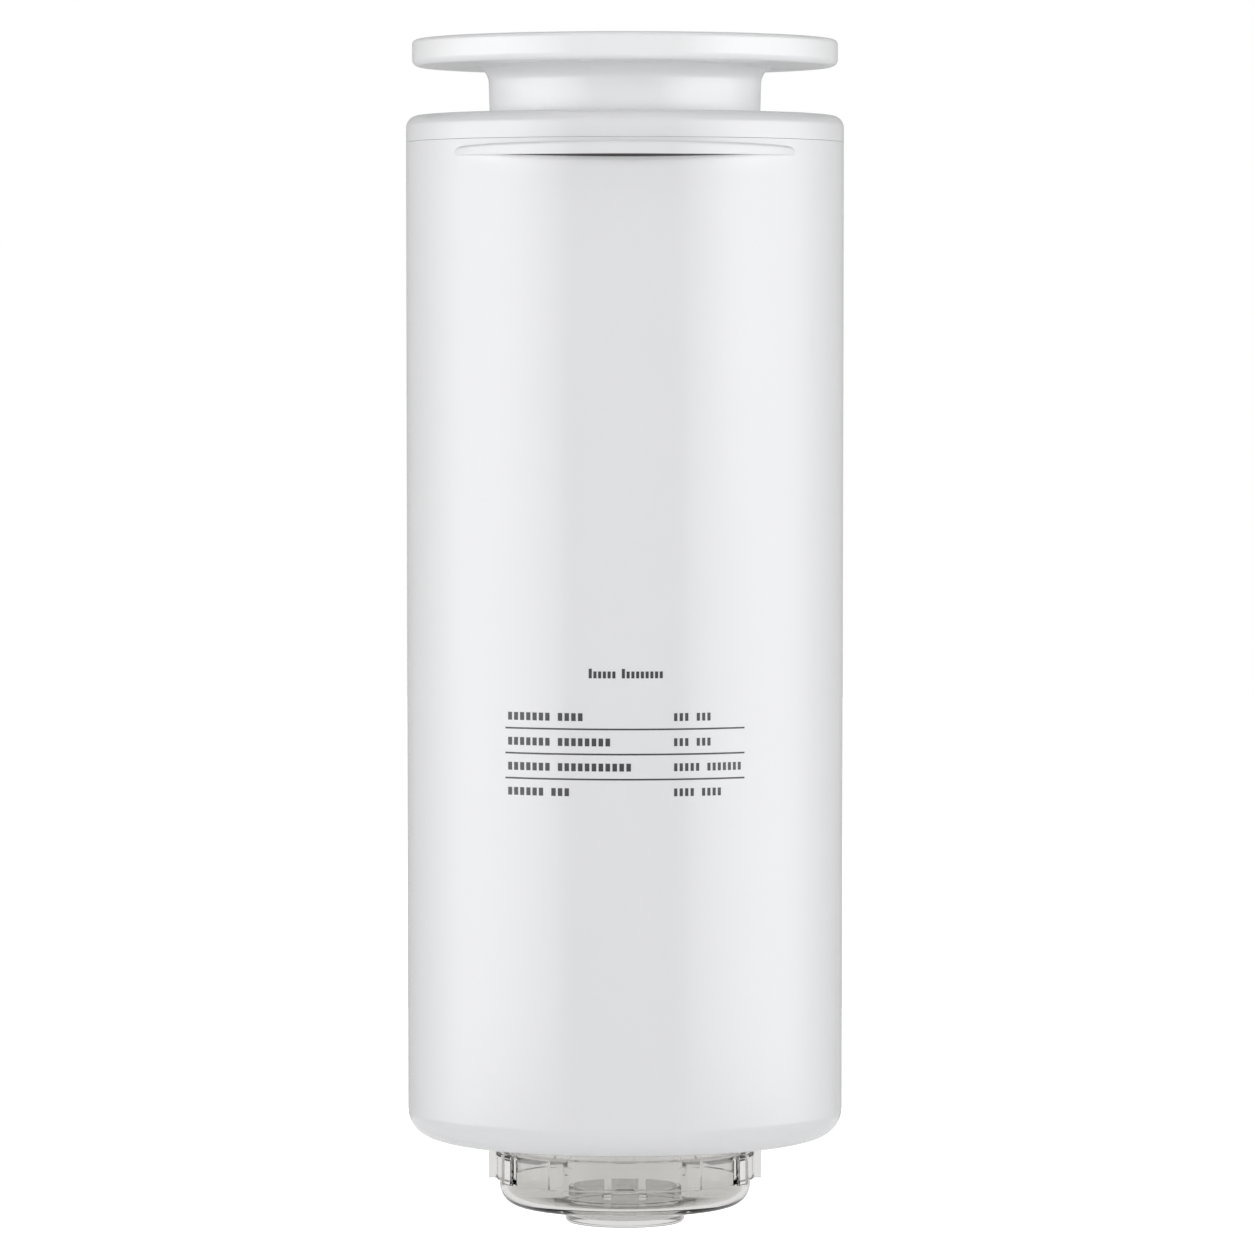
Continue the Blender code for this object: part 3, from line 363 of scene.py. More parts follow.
class StageSettings(bpy.types.PropertyGroup):
    """The floor, the lamps and the camera."""

    floor_drop: length("Floor drop", 0.080, "Gap from the object's lowest point to the floor")
    floor_albedo: share("Floor albedo", 0.72, "How much light the floor throws back")
    floor_glow: share("Floor glow", 0.65, "White added to the floor where it is seen directly")
    floor_light: share("Floor light", 0.22, "Light that the floor adds of its own")
    floor_through: number("Floor through", 1.0, "Brightness of the floor through the clear cap")
    floor_mirror: share("Floor mirror", 0.5, "Share of the added white that reflections see")
    floor_fade: share("Floor fade", 0.62, "Further white added far from the object")
    floor_reach: length("Floor reach", 0.45, "Distance over which the floor turns white")
    floor_size: length("Floor size", 8.0, "Side of the square floor")
    camera_distance: length("Camera distance", 1.71, "Distance from the axis to the camera")
    camera_height: height("Camera height", 0.199, "Height of the camera")
    camera_offset: height("Camera offset", 0.0005, "How far the camera stands to the right")
    camera_tilt: angle("Camera tilt", 2.434, "How far the camera looks down")
    focal_length: number("Focal length", 198.2, "Focal length in millimetres")
    ambient: number("Ambient", 0.12, "Strength of the plain light from all sides")
    world_mirror: share("World mirror", 0.30, "White that reflections see above the reflector")
    lamp_distance: length("Lamp distance", 1.3, "Distance from the axis to the lamps")
    side_azimuth: angle("Side azimuth", 62.0, "Direction of the side lamps, off the front")
    side_elevation: angle("Side elevation", 11.0, "Height angle of the side lamps")
    side_size: length("Side size", 0.55, "Side of each side lamp")
    side_radiance: number("Side radiance", 5.7, "Brightness of the side lamps")
    top_elevation: angle("Top elevation", 80.0, "Height angle of the top lamp")
    top_size: length("Top size", 1.0, "Side of the top lamp")
    top_radiance: number("Top radiance", 1.5, "Brightness of the top lamp")
    front_elevation: angle("Front elevation", 10.0, "Height angle of the front lamp")
    front_size: length("Front size", 1.0, "Side of the front lamp")
    front_radiance: number("Front radiance", 1.12, "Brightness of the front lamp")
    back_radiance: number("Back radiance", 3.0, "Brightness of the lamp behind the object")
    reflector_radius: length("Reflector radius", 0.60, "Radius of the reflector round the object")
    reflector_top: height("Reflector top", 0.50, "Height of the reflector's upper edge")
    glance_limit: number("Glance limit", 0.62, "Brightest glancing reflection")


class CartridgeSettings(bpy.types.PropertyGroup):
    """All settings of the cartridge."""

    housing: group("Housing", HousingSizes, "Sizes of the housing")
    lid: group("Lid", LidSizes, "Sizes of the lid and the knob")
    cap: group("Cap", CapSizes, "Sizes of the clear cap")
    thread: group("Thread", ThreadSizes, "Sizes of the thread")
    core: group("Core", CoreSizes, "Sizes of the port core")
    marks: group("Marks", PrintSizes, "Places and sizes of the printed marks")
    colours: group("Colours", FinishColours, "Colours of the finishes")
    stage: group("Stage", StageSettings, "The floor, the lamps and the camera")


class Signal:
    """A socket that carries a number; arithmetic on it adds Math nodes to its tree."""

    def __init__(self, graph, socket):
        self.graph = graph
        self.socket = socket

    def maths(self, operation, *values):
        inputs = dict(enumerate(values))
        node = self.graph.add("ShaderNodeMath", {"operation": operation}, inputs)
        return Signal(self.graph, node.outputs[0])

    def __add__(self, other):
        return self.maths("ADD", self, other)

    def __radd__(self, other):
        return self.maths("ADD", other, self)

    def __sub__(self, other):
        return self.maths("SUBTRACT", self, other)

    def __rsub__(self, other):
        return self.maths("SUBTRACT", other, self)

    def __mul__(self, other):
        return self.maths("MULTIPLY", self, other)

    def __rmul__(self, other):
        return self.maths("MULTIPLY", other, self)

    def __truediv__(self, other):
        return self.maths("DIVIDE", self, other)

    def __rtruediv__(self, other):
        return self.maths("DIVIDE", other, self)

    def __pow__(self, other):
        return self.maths("POWER", self, other)

    def least(self, other):
        return self.maths("MINIMUM", self, other)

    def most(self, other):
        return self.maths("MAXIMUM", self, other)

    def sine(self):
        return self.maths("SINE", self)

    def cosine(self):
        return self.maths("COSINE", self)


class Graph:
    """A node tree, written as calls: every node comes from add()."""

    def __init__(self, tree):
        self.tree = tree
        tree.nodes.clear()

    def add(self, kind, settings=None, inputs=None):
        """A node of a kind, with its settings made first and its inputs set or linked."""
        node = self.tree.nodes.new(kind)
        for name, value in (settings or {}).items():
            setattr(node, name, value)
        for key, value in (inputs or {}).items():
            self.feed(node.inputs[key], value)
        return node

    def feed(self, socket, value):
        """Links a signal or a socket to an input, or sets the input's own value."""
        if isinstance(value, Signal):
            value = value.socket
        if isinstance(value, bpy.types.NodeSocket):
            self.tree.links.new(value, socket)
        else:
            socket.default_value = value

    def signal(self, kind, settings=None, inputs=None, output=0):
        """One output of a new node, as a number to reckon with."""
        return Signal(self, self.add(kind, settings, inputs).outputs[output])

    def ray(self, name):
        """What Light Path says of a ray, such as Is Camera Ray, as a number."""
        return self.signal("ShaderNodeLightPath", output=name)

    def parts(self, vector):
        """The three numbers of a vector."""
        node = self.add("ShaderNodeSeparateXYZ", inputs={0: vector})
        return [Signal(self, output) for output in node.outputs]

    def vector(self, x, y, z):
        return self.add("ShaderNodeCombineXYZ", inputs={0: x, 1: y, 2: z}).outputs[0]

    def blend(self, factor, first, second):
        """A colour between two colours."""
        inputs = {"Factor_Float": factor, "A_Color": first, "B_Color": second}
        node = self.add("ShaderNodeMix", {"data_type": "RGBA"})
        for socket in node.inputs:
            if socket.identifier in inputs:
                self.feed(socket, inputs[socket.identifier])
        return next(output for output in node.outputs if output.type == "RGBA")


class Finish:
    """A material with a Principled shader on the piece's Object coordinates."""

    def __init__(self, name, base, roughness, **constants):
        self.material = bpy.data.materials.new(name)
        self.material.use_nodes = True
        self.base = (*base, 1.0)
        self.graph = Graph(self.material.node_tree)
        inputs = {"Base Color": self.base, "Roughness": roughness, **constants}
        self.shader = self.graph.add("ShaderNodeBsdfPrincipled", inputs=inputs)
        surface = {"Surface": self.shader.outputs["BSDF"]}
        self.output = self.graph.add("ShaderNodeOutputMaterial", inputs=surface)
        self.place = self.graph.add("ShaderNodeTexCoord").outputs["Object"]
        self.material.diffuse_color = self.base

    def tinted(self, factor):
        """The base colour made darker or lighter by a constant factor."""
        return tuple(min(1.0, channel * factor) for channel in self.base[:3]) + (1.0,)

    def vary(self, name, value):
        """Feeds a value that changes over the surface to an input of the shader."""
        self.graph.feed(self.shader.inputs[name], value)

    def shade(self, factor, darker, lighter):
        """Varies the base colour between two tints of itself."""
        tints = self.tinted(darker), self.tinted(lighter)
        self.vary("Base Color", self.graph.blend(factor, *tints))

    def noise(self, scale, detail=2.0, roughness=0.5):
        """Smooth noise about 0.5 over the piece."""
        inputs = {"Vector": self.place, "Scale": scale, "Detail": detail, "Roughness": roughness}
        return self.graph.signal("ShaderNodeTexNoise", inputs=inputs, output="Fac")

    def lets_light_through(self, tint):
        """Shadows, diffuse light and trapped rays pass straight through the surface, tinted."""
        graph = self.graph
        depth = graph.ray("Transmission Depth")
        trapped = depth.maths("GREATER_THAN", depth, TRAPPED_DEPTH)
        straight = graph.ray("Is Shadow Ray").most(graph.ray("Is Diffuse Ray")).most(trapped)
        clear = graph.add("ShaderNodeBsdfTransparent", inputs={"Color": tint})
        inputs = {0: straight, 1: self.shader.outputs[0], 2: clear.outputs[0]}
        mixed = graph.add("ShaderNodeMixShader", inputs=inputs)
        graph.feed(self.output.inputs["Surface"], mixed.outputs[0])

    def relief(self, *layers):
        """Bumps the surface with (height signal, depth in metres) layers."""
        normal = None
        for signal, depth in layers:
            inputs = {"Strength": 1.0, "Distance": depth, "Height": signal}
            if normal:
                inputs["Normal"] = normal
            normal = self.graph.add("ShaderNodeBump", inputs=inputs).outputs["Normal"]
        self.vary("Normal", normal)


def moulded_plastic(name, base, roughness, grain=0.000004, waviness=0.00001):
    """Moulded plastic: faint mottling, uneven gloss, fine grain and slow waves."""
    made = Finish(name, base, roughness, IOR=PLASTIC_IOR)
    haze = made.noise(55.0, detail=4.0, roughness=0.6)
    made.shade(made.noise(14.0, detail=3.0), 0.985, 1.01)
    made.vary("Roughness", roughness * (0.82 + 0.36 * haze))
    made.relief((made.noise(40.0, detail=1.0), waviness), (made.noise(900.0), grain))
    return made.material


def housing_plastic(given):
    """The white plastic that the housing and the lid share."""
    made = bpy.data.materials.get("white_plastic")
    return made or moulded_plastic("white_plastic", given.colours.white, GLOSS_ROUGHNESS)


def clear_plastic(name, base, waviness=0.00003):
    """Clear moulded plastic: slow waves in its faces and a little uneven haze."""
    made = Finish(name, base, CLEAR_ROUGHNESS, IOR=CLEAR_IOR)
    made.shader.inputs["Transmission Weight"].default_value = 1.0
    made.lets_light_through(CLEAR_SHADOW)
    haze = made.noise(180.0, detail=3.0)
    made.vary("Roughness", CLEAR_ROUGHNESS * (0.5 + 1.5 * haze))
    made.relief((made.noise(120.0, detail=1.0), waviness))
    return made.material


def seal_rubber(name, base, grain=0.00001):
    """Soft moulded rubber with a dusty bloom."""
    made = Finish(name, base, 0.45, IOR=RUBBER_IOR)
    bloom = made.noise(260.0, detail=4.0, roughness=0.6)
    made.shade(bloom ** 3, 1.0, 2.2)
    made.vary("Roughness", 0.34 + 0.24 * bloom)
    made.relief((made.noise(2400.0), grain))
    return made.material


def wound_leaves(name, base, turn_pitch=0.0018, tooth=2600.0):
    """Wound sheet edges: fine rings round the axis and a mesh-like tooth."""
    made = Finish(name, base, 0.75)
    x, y, z = made.graph.parts(made.place)
    radius = (x * x + y * y) ** 0.5
    rings = (radius * (math.tau / turn_pitch)).sine() * 0.5 + 0.5
    mesh = ((z * tooth).sine() + (radius * tooth).cosine()) * 0.25 + 0.5
    soil = made.noise(60.0, detail=4.0)
    made.shade(rings * 0.6 + soil * 0.4, 0.72, 1.05)
    made.vary("Roughness", 0.62 + 0.25 * soil)
    made.relief((rings, 0.0003), (mesh, 0.00008))
    return made.material


def wrap_tape(name, base, lap=0.045, lap_edge=30.0):
    """Sleeve tape: satin film with lap lines that climb round the roll."""
    made = Finish(name, base, 0.40)
    x, y, z = made.graph.parts(made.place)
    turn = x.maths("ARCTAN2", y, x) / math.tau
    climb = x.maths("FRACT", z / lap + turn)
    edge = (1.0 - climb * lap_edge).most(0.0)
    dye = made.noise(30.0, detail=3.0)
    made.shade(dye * 0.6 + edge * 0.4, 0.88, 1.08)
    made.vary("Roughness", 0.30 + 0.25 * dye)
    made.relief((climb, 0.0002), (made.noise(700.0), 0.00002))
    return made.material


def printed_ink(name, base):
    """Printed ink: satin, a little uneven in cover."""
    made = Finish(name, base, 0.42)
    cover = made.noise(1500.0, detail=3.0)
    made.shade(cover, 0.75, 1.5)
    made.vary("Roughness", 0.34 + 0.2 * cover)
    return made.material


def fillet(before, corner, after, radius):
    """The points of an arc that rounds one corner, limited by the sides it joins."""
    to_before = before - corner
    to_after = after - corner
    half_angle = to_before.angle(to_after) / 2
    side = min(to_before.length, to_after.length)
    reach = min(radius / math.tan(half_angle), side * FILLET_LIMIT)
    radius = reach * math.tan(half_angle)
    bisector = (to_before.normalized() + to_after.normalized()).normalized()
    centre = corner + bisector * radius / math.sin(half_angle)
    first = corner + to_before.normalized() * reach - centre
    last = corner + to_after.normalized() * reach - centre
    start = math.atan2(first.y, first.x)
    turn = math.remainder(math.atan2(last.y, last.x) - start, math.tau)
    steps = max(MIN_ARC_STEPS, math.ceil(abs(turn) / ARC_STEP - ARC_ROUNDING))
    angles = [start + turn * step / steps for step in range(steps + 1)]
    return [centre + Vector((math.cos(step), math.sin(step))) * radius for step in angles]


def outline(*corners):
    """Points of a closed (radius, height) outline; a third value rounds that corner."""
    places = [Vector(corner[:2]) for corner in corners]
    points = []
    for index, corner in enumerate(corners):
        if len(corner) == 2:
            points.append(places[index])
            continue
        after = places[(index + 1) % len(places)]
        points += fillet(places[index - 1], places[index], after, corner[2])
    return points


def polar(radius, turn, rise):
    """A place by its distance from the axis, its angle from +X and its height."""
    return Vector((radius * math.cos(turn), radius * math.sin(turn), rise))


def add_object(name, shape):
    """An object at the origin from a bmesh, smooth except at its sharp edges."""
    mesh = bpy.data.meshes.new(name)
    bmesh.ops.recalc_face_normals(shape, faces=shape.faces)
    shape.to_mesh(mesh)
    shape.free()
    made = bpy.data.objects.new(name, mesh)
    bpy.context.scene.collection.objects.link(made)
    dress(made)
    return made


def dress(made, material=None):
    """Gives a mesh its one material and its smooth shading."""
    made.data.materials.clear()
    if material:
        made.data.materials.append(material)
    made.data.shade_smooth()
    made.data.set_sharp_from_angle(angle=SHARP_ANGLE)


def add_skin(shape, columns, following):
    """Faces round each column of vertices, to the column that follows it."""
    for column, after in zip(columns, following):
        for index in range(len(column)):
            shape.faces.new((column[index - 1], column[index], after[index], after[index - 1]))


def turned(name, section, turns):
    """A closed solid round +Z; section(turn) gives its outline at each angle."""
    shape = bmesh.new()
    columns = []
    for turn in turns:
        columns.append([shape.verts.new(polar(spot.x, turn, spot.y)) for spot in section(turn)])
    add_skin(shape, columns, columns[1:] + columns[:1])
    bmesh.ops.remove_doubles(shape, verts=shape.verts, dist=WELD)
    bmesh.ops.dissolve_degenerate(shape, edges=shape.edges, dist=WELD)
    return add_object(name, shape)


def combine(target, tool, operation):
    """Cuts the tool from the target or joins it on, and removes the tool."""
    step = target.modifiers.new(operation, "BOOLEAN")
    step.object = tool
    step.operation = operation
    step.solver = "EXACT"
    make_plain(target)
    bpy.data.objects.remove(tool, do_unlink=True)


def make_plain(made):
    """Turns an object's evaluated shape into its plain mesh, with no modifiers left."""
    bpy.context.view_layer.update()
    graph = bpy.context.evaluated_depsgraph_get()
    mesh = bpy.data.meshes.new_from_object(made.evaluated_get(graph))
    before = made.data
    made.modifiers.clear()
    made.data = mesh
    bpy.data.meshes.remove(before)
    mesh.name = made.name
    shape = bmesh.new()
    shape.from_mesh(mesh)
    bmesh.ops.recalc_face_normals(shape, faces=shape.faces)
    shape.to_mesh(mesh)
    shape.free()


def geometry_graph(name, **inputs):
    """A new Geometry Nodes tree with named inputs, and the graph that fills it."""
    kinds = {float: "NodeSocketFloat", int: "NodeSocketInt"}
    tree = bpy.data.node_groups.new(name, "GeometryNodeTree")
    tree.interface.new_socket("Geometry", in_out="INPUT", socket_type="NodeSocketGeometry")
    for label, value in inputs.items():
        kind = kinds[type(value)]
        made = tree.interface.new_socket(label, in_out="INPUT", socket_type=kind)
        made.default_value = value
    tree.interface.new_socket("Material", in_out="INPUT", socket_type="NodeSocketMaterial")
    tree.interface.new_socket("Geometry", in_out="OUTPUT", socket_type="NodeSocketGeometry")
    graph = Graph(tree)
    source = graph.add("NodeGroupInput")
    return graph, {socket.name: Signal(graph, socket) for socket in source.outputs if socket.name}


def end_tree(graph, instances, material):
    """Realizes the instances, sets the material and closes the tree."""
    real = graph.add("GeometryNodeRealizeInstances", inputs={0: instances}).outputs[0]
    finished = graph.add("GeometryNodeSetMaterial", inputs={"Geometry": real, "Material": material})
    graph.add("NodeGroupOutput", inputs={0: finished.outputs[0]})


def run_tree(made, tree, material, **values):
    """Runs a Geometry Nodes tree on an object and keeps the result as its plain mesh."""
    modifier = made.modifiers.new(tree.name, "NODES")
    modifier.node_group = tree
    values["Material"] = material
    for item in tree.interface.items_tree:
        if item.in_out == "INPUT" and item.name in values:
            modifier[item.identifier] = values[item.name]
    make_plain(made)
    dress(made, material)
    return made


def copies_round_axis(graph, mesh, times, rise=0.0):
    """Instances of a mesh, evenly round +Z and lifted by a height."""
    turn = graph.signal("GeometryNodeInputIndex") * math.tau / times
    euler = graph.vector(0.0, 0.0, turn)
    rotation = graph.add("FunctionNodeEulerToRotation", inputs={0: euler}).outputs[0]
    inputs = {"Count": times, "Position": graph.vector(0.0, 0.0, rise)}
    points = graph.add("GeometryNodePoints", inputs=inputs).outputs[0]
    inputs = {"Points": points, "Instance": mesh, "Rotation": rotation}
    return graph.add("GeometryNodeInstanceOnPoints", inputs=inputs).outputs[0]


def polar_array_tree():
    """Copies a mesh evenly round +Z."""
    graph, given = geometry_graph("polar_array", Count=6)
    copies = copies_round_axis(graph, given["Geometry"], given["Count"])
    end_tree(graph, copies, given["Material"])
    return graph.tree


def thread_tree():
    """Sweeps a thread's section along a helix, once for each start, fading at its ends."""
    graph, given = geometry_graph(
        "thread_ridges",
        Starts=2,
        Turns=1.0,
        Lead=0.008,
        Radius=0.03,
        Base=0.0,
        Depth=0.001,
        Root=0.002,
        Crest=0.001,
        Fade=0.1,
    )
    spiral = graph.add(
        "GeometryNodeCurveSpiral",
        inputs={
            "Resolution": THREAD_RESOLUTION,
            "Rotations": given["Turns"],
            "Start Radius": given["Radius"],
            "End Radius": given["Radius"],
            "Height": given["Turns"] * given["Lead"],
            "Reverse": True,
        },
    )
    upright = graph.add(
        "GeometryNodeSetCurveNormal", {"mode": "Z_UP"}, {"Curve": spiral.outputs[0]}
    )
    half_root = given["Root"] * 0.5
    half_crest = given["Crest"] * 0.5
    section = graph.add(
        "GeometryNodeCurvePrimitiveQuadrilateral",
        {"mode": "POINTS"},
        {
            "Point 1": graph.vector(0.0, half_root * -1.0, 0.0),
            "Point 2": graph.vector(given["Depth"], half_crest * -1.0, 0.0),
            "Point 3": graph.vector(given["Depth"], half_crest, 0.0),
            "Point 4": graph.vector(0.0, half_root, 0.0),
        },
    )
    along = graph.signal("GeometryNodeSplineParameter")
    fade = (along / given["Fade"]).least((1.0 - along) / given["Fade"]).least(1.0).most(THREAD_TIP)
    swept = graph.add(
        "GeometryNodeCurveToMesh",
        inputs={
            "Curve": upright.outputs[0],
            "Profile Curve": section.outputs[0],
            "Scale": fade,
            "Fill Caps": True,
        },
    )
    copies = copies_round_axis(graph, swept.outputs[0], given["Starts"], given["Base"])
    end_tree(graph, copies, given["Material"])
    return graph.tree


def mark_tree():
    """Puts a block on every point, as large as the point's size, and bends it round the wall."""
    graph, given = geometry_graph("printed_marks", Divisions=4, Radius=0.05, Slope=0.0)
    size = graph.add("GeometryNodeInputNamedAttribute", {"data_type": "FLOAT_VECTOR"}, {0: "size"})
    inputs = {"Size": (1.0, 1.0, 1.0), "Vertices X": given["Divisions"]}
    block = graph.add("GeometryNodeMeshCube", inputs=inputs)
    inputs = {"Points": given["Geometry"], "Instance": block.outputs[0], "Scale": size.outputs[0]}
    copies = graph.add("GeometryNodeInstanceOnPoints", inputs=inputs).outputs[0]
    flat = graph.add("GeometryNodeRealizeInstances", inputs={0: copies}).outputs[0]
    along, off, up = graph.parts(graph.add("GeometryNodeInputPosition").outputs[0])
    turn = along / given["Radius"] - math.pi / 2
    reach = given["Radius"] + up * given["Slope"] + off
    place = graph.vector(turn.cosine() * reach, turn.sine() * reach, up)
    inputs = {"Geometry": flat, "Position": place}
    bent = graph.add("GeometryNodeSetPosition", inputs=inputs).outputs[0]
    end_tree(graph, bent, given["Material"])
    return graph.tree


def rod(name, distance, radius, low, high, sides):
    """An upright round cutter at a distance from the axis."""
    shape = bmesh.new()
    bmesh.ops.create_cone(
        shape,
        cap_ends=True,
        segments=sides,
        radius1=radius,
        radius2=radius,
        depth=high - low,
        matrix=Matrix.Translation((distance, 0.0, (low + high) / 2)),
    )
    return add_object(name, shape)


def bar(name, inner, outer, width, low, high, turn=0.0, bevel=0.0):
    """A block that runs outwards from near the axis; a bevel rounds its upright edges."""
    shape = bmesh.new()
    size = Matrix.Diagonal((outer - inner, width, high - low, 1.0))
    middle = Matrix.Translation(((inner + outer) / 2, 0.0, (low + high) / 2))
    bmesh.ops.create_cube(shape, size=1.0, matrix=Matrix.Rotation(turn, 4, "Z") @ middle @ size)
    if bevel:
        bmesh.ops.bevel(
            shape,
            geom=[edge for edge in shape.edges if edge.verts[0].co.xy == edge.verts[1].co.xy],
            offset=bevel,
            segments=RIB_BEVEL_SEGMENTS,
            profile=0.5,
            affect="EDGES",
        )
    return add_object(name, shape)


def repeated(made, times):
    """Turns an object into evenly spaced copies round the axis."""
    return run_tree(made, polar_array_tree(), None, Count=times)


def thread_ridges(name, sizes, start, wall, reach):
    """The ridges of every start, rooted in a wall; a negative reach runs inwards."""
    sink = math.copysign(sizes.sink, reach)
    holder = add_object(name, bmesh.new())
    return run_tree(
        holder,
        thread_tree(),
        None,
        Starts=sizes.starts,
        Turns=sizes.turns,
        Lead=sizes.starts * sizes.pitch,
        Radius=wall - sink,
        Base=start,
        Depth=reach + sink,
        Root=sizes.root_width,
        Crest=sizes.crest_width,
        Fade=sizes.fade,
    )


def groove(radius, middle, depth, half):
    """Outline corners of a seal groove in a round face, from the bottom edge upwards."""
    floor = radius - depth
    low = middle - half
    high = middle + half
    return (radius, low), (floor, low), (floor, high), (radius, high)


def evenly(steps):
    """Angles at even steps round the axis."""
    return [math.tau * step / steps for step in range(steps)]


class CatchLedge:
    """The lens-shaped ledge: the part of an upright disc that stands out of the shell."""

    def __init__(self, sizes):
        self.sizes = sizes
        self.radius = SHELL_HIGH.x
        self.reach = -SHELL_LOW.y - self.radius
        self.base = SHELL_HIGH.z - sizes.ledge_below_seam - sizes.ledge_height
        self.middle = self.base + sizes.ledge_height * sizes.ledge_end_share / 2
        self.wall = self.radius - sizes.draft * (1 - self.middle / SHELL_HIGH.z)
        self.end = math.asin(sizes.ledge_half_width / self.radius)
        setback = math.sqrt(self.radius**2 - sizes.ledge_half_width**2)
        rise = self.radius + self.reach - setback
        self.disc_radius = (sizes.ledge_half_width**2 + rise**2) / (2 * rise)
        self.disc_shift = self.radius + self.reach - self.disc_radius

    def outside(self, off_front):
        """How far out the ledge stands at an angle off the front."""
        across = self.disc_shift * math.sin(off_front)
        return self.disc_shift * math.cos(off_front) + math.sqrt(self.disc_radius**2 - across**2)

    def points(self, off_front):
        """The ledge's outline at an angle, from its lower edge up; one spot beyond its ends."""
        outside = self.outside(off_front)
        if abs(off_front) >= self.end or outside <= self.wall:
            return [Vector((self.wall, self.middle))] * LEDGE_POINTS
        sizes = self.sizes
        share = math.sqrt(max(0.0, (outside - self.radius) / self.reach))
        height = sizes.ledge_height * (sizes.ledge_end_share + (1 - sizes.ledge_end_share) * share)
        near = min(1.0, (self.end - abs(off_front)) * self.radius / sizes.ledge_end_round)
        squeeze = math.sqrt(1 - (1 - near) ** 2)
        low = self.middle - (self.middle - self.base) * squeeze
        high = self.middle + (self.base + height - self.middle) * squeeze
        inside = self.wall - OVERCUT
        corners = outline(
            (inside, low),
            (outside, low, sizes.ledge_lip),
            (outside, high, sizes.ledge_round),
            (inside, high),
        )
        return [Vector((max(self.wall, spot.x), spot.y)) for spot in corners]


def add_housing(sizes, thread):
    """The shell as one turned solid with its ledge, feed holes and thread."""
    radius = SHELL_HIGH.x
    top = SHELL_HIGH.z
    bore = radius - sizes.wall
    base_radius = radius - sizes.draft
    socket_outside = sizes.socket_radius + sizes.socket_wall
    ceiling = sizes.socket_depth + sizes.base_wall
    core_hole = sizes.core_hole
    inner_round = sizes.base_round - sizes.wall
    ledge = CatchLedge(sizes)
    below_ledge = Vector((ledge.wall, ledge.base - sizes.ledge_end_round))

    def section(turn):
        off_front = math.remainder(turn + math.pi / 2, math.tau)
        body = outline(
            (radius, top, sizes.rim_round),
            (bore, top, sizes.rim_round),
            (bore, sizes.base_wall, inner_round),
            (socket_outside, sizes.base_wall, sizes.wall / 2),
            (socket_outside, ceiling, sizes.fine_round),
            (core_hole, ceiling),
            (core_hole, sizes.socket_depth),
            (sizes.socket_radius, sizes.socket_depth, sizes.fine_round),
            (sizes.socket_radius, sizes.socket_chamfer),
            (sizes.socket_radius + sizes.socket_chamfer, 0.0),
            (base_radius, 0.0, sizes.base_round),
        )
        return body + [below_ledge] + ledge.points(off_front)

    turns = evenly(TURN_STEPS)
    step = math.tau / TURN_STEPS / LEDGE_END_STEPS
    for side in (-1, 1):
        end = side * ledge.end - math.pi / 2
        finer = range(LEDGE_END_SPAN * LEDGE_END_STEPS)
        turns += [(end - side * step * index) % math.tau for index in finer]
    made = turned("housing_body", section, sorted(turns))
    holes = rod(
        "feed_hole_cutters",
        sizes.feed_circle,
        sizes.feed_hole_radius,
        sizes.socket_depth - OVERCUT,
        ceiling + OVERCUT,
        HOLE_SIDES,
    )
    combine(made, repeated(holes, sizes.feed_holes), "DIFFERENCE")
    ridges = thread_ridges(
        "socket_thread", thread, thread.socket_start, sizes.socket_radius, -thread.ridge
    )
    combine(made, ridges, "UNION")
    return made


def add_painted_ledge_shadow(sizes):
    """Painted shadow under the ledge: a dark lens-shaped strip that stands just off the wall, where
    the ledge casts its shade.
    """
    ledge = CatchLedge(sizes)
    wall = SHELL_HIGH.x
    inside = wall - OVERCUT
    end = math.asin(sizes.shadow_half_width / wall)
    shape = bmesh.new()
    columns = []
    for step in range(GAP_STEPS + 1):
        off_front = end * (2 * step / GAP_STEPS - 1)
        share = 1 - (off_front / end) ** 2
        reach = sizes.ink_and_shadow_depth + (ledge.outside(off_front) - wall) * sizes.shadow_depth * share
        outside = wall + reach
        low = ledge.base - sizes.shadow_height * share**2
        turn = off_front - math.pi / 2
        corners = (inside, low), (outside, low), (outside, ledge.base), (inside, ledge.base)
        columns.append([shape.verts.new(polar(radius, turn, level)) for radius, level in corners])
    add_skin(shape, columns, columns[1:])
    shape.faces.new(columns[0])
    shape.faces.new(columns[-1])
    bmesh.ops.remove_doubles(shape, verts=shape.verts, dist=WELD)
    return add_object("painted_shadow_strip", shape)


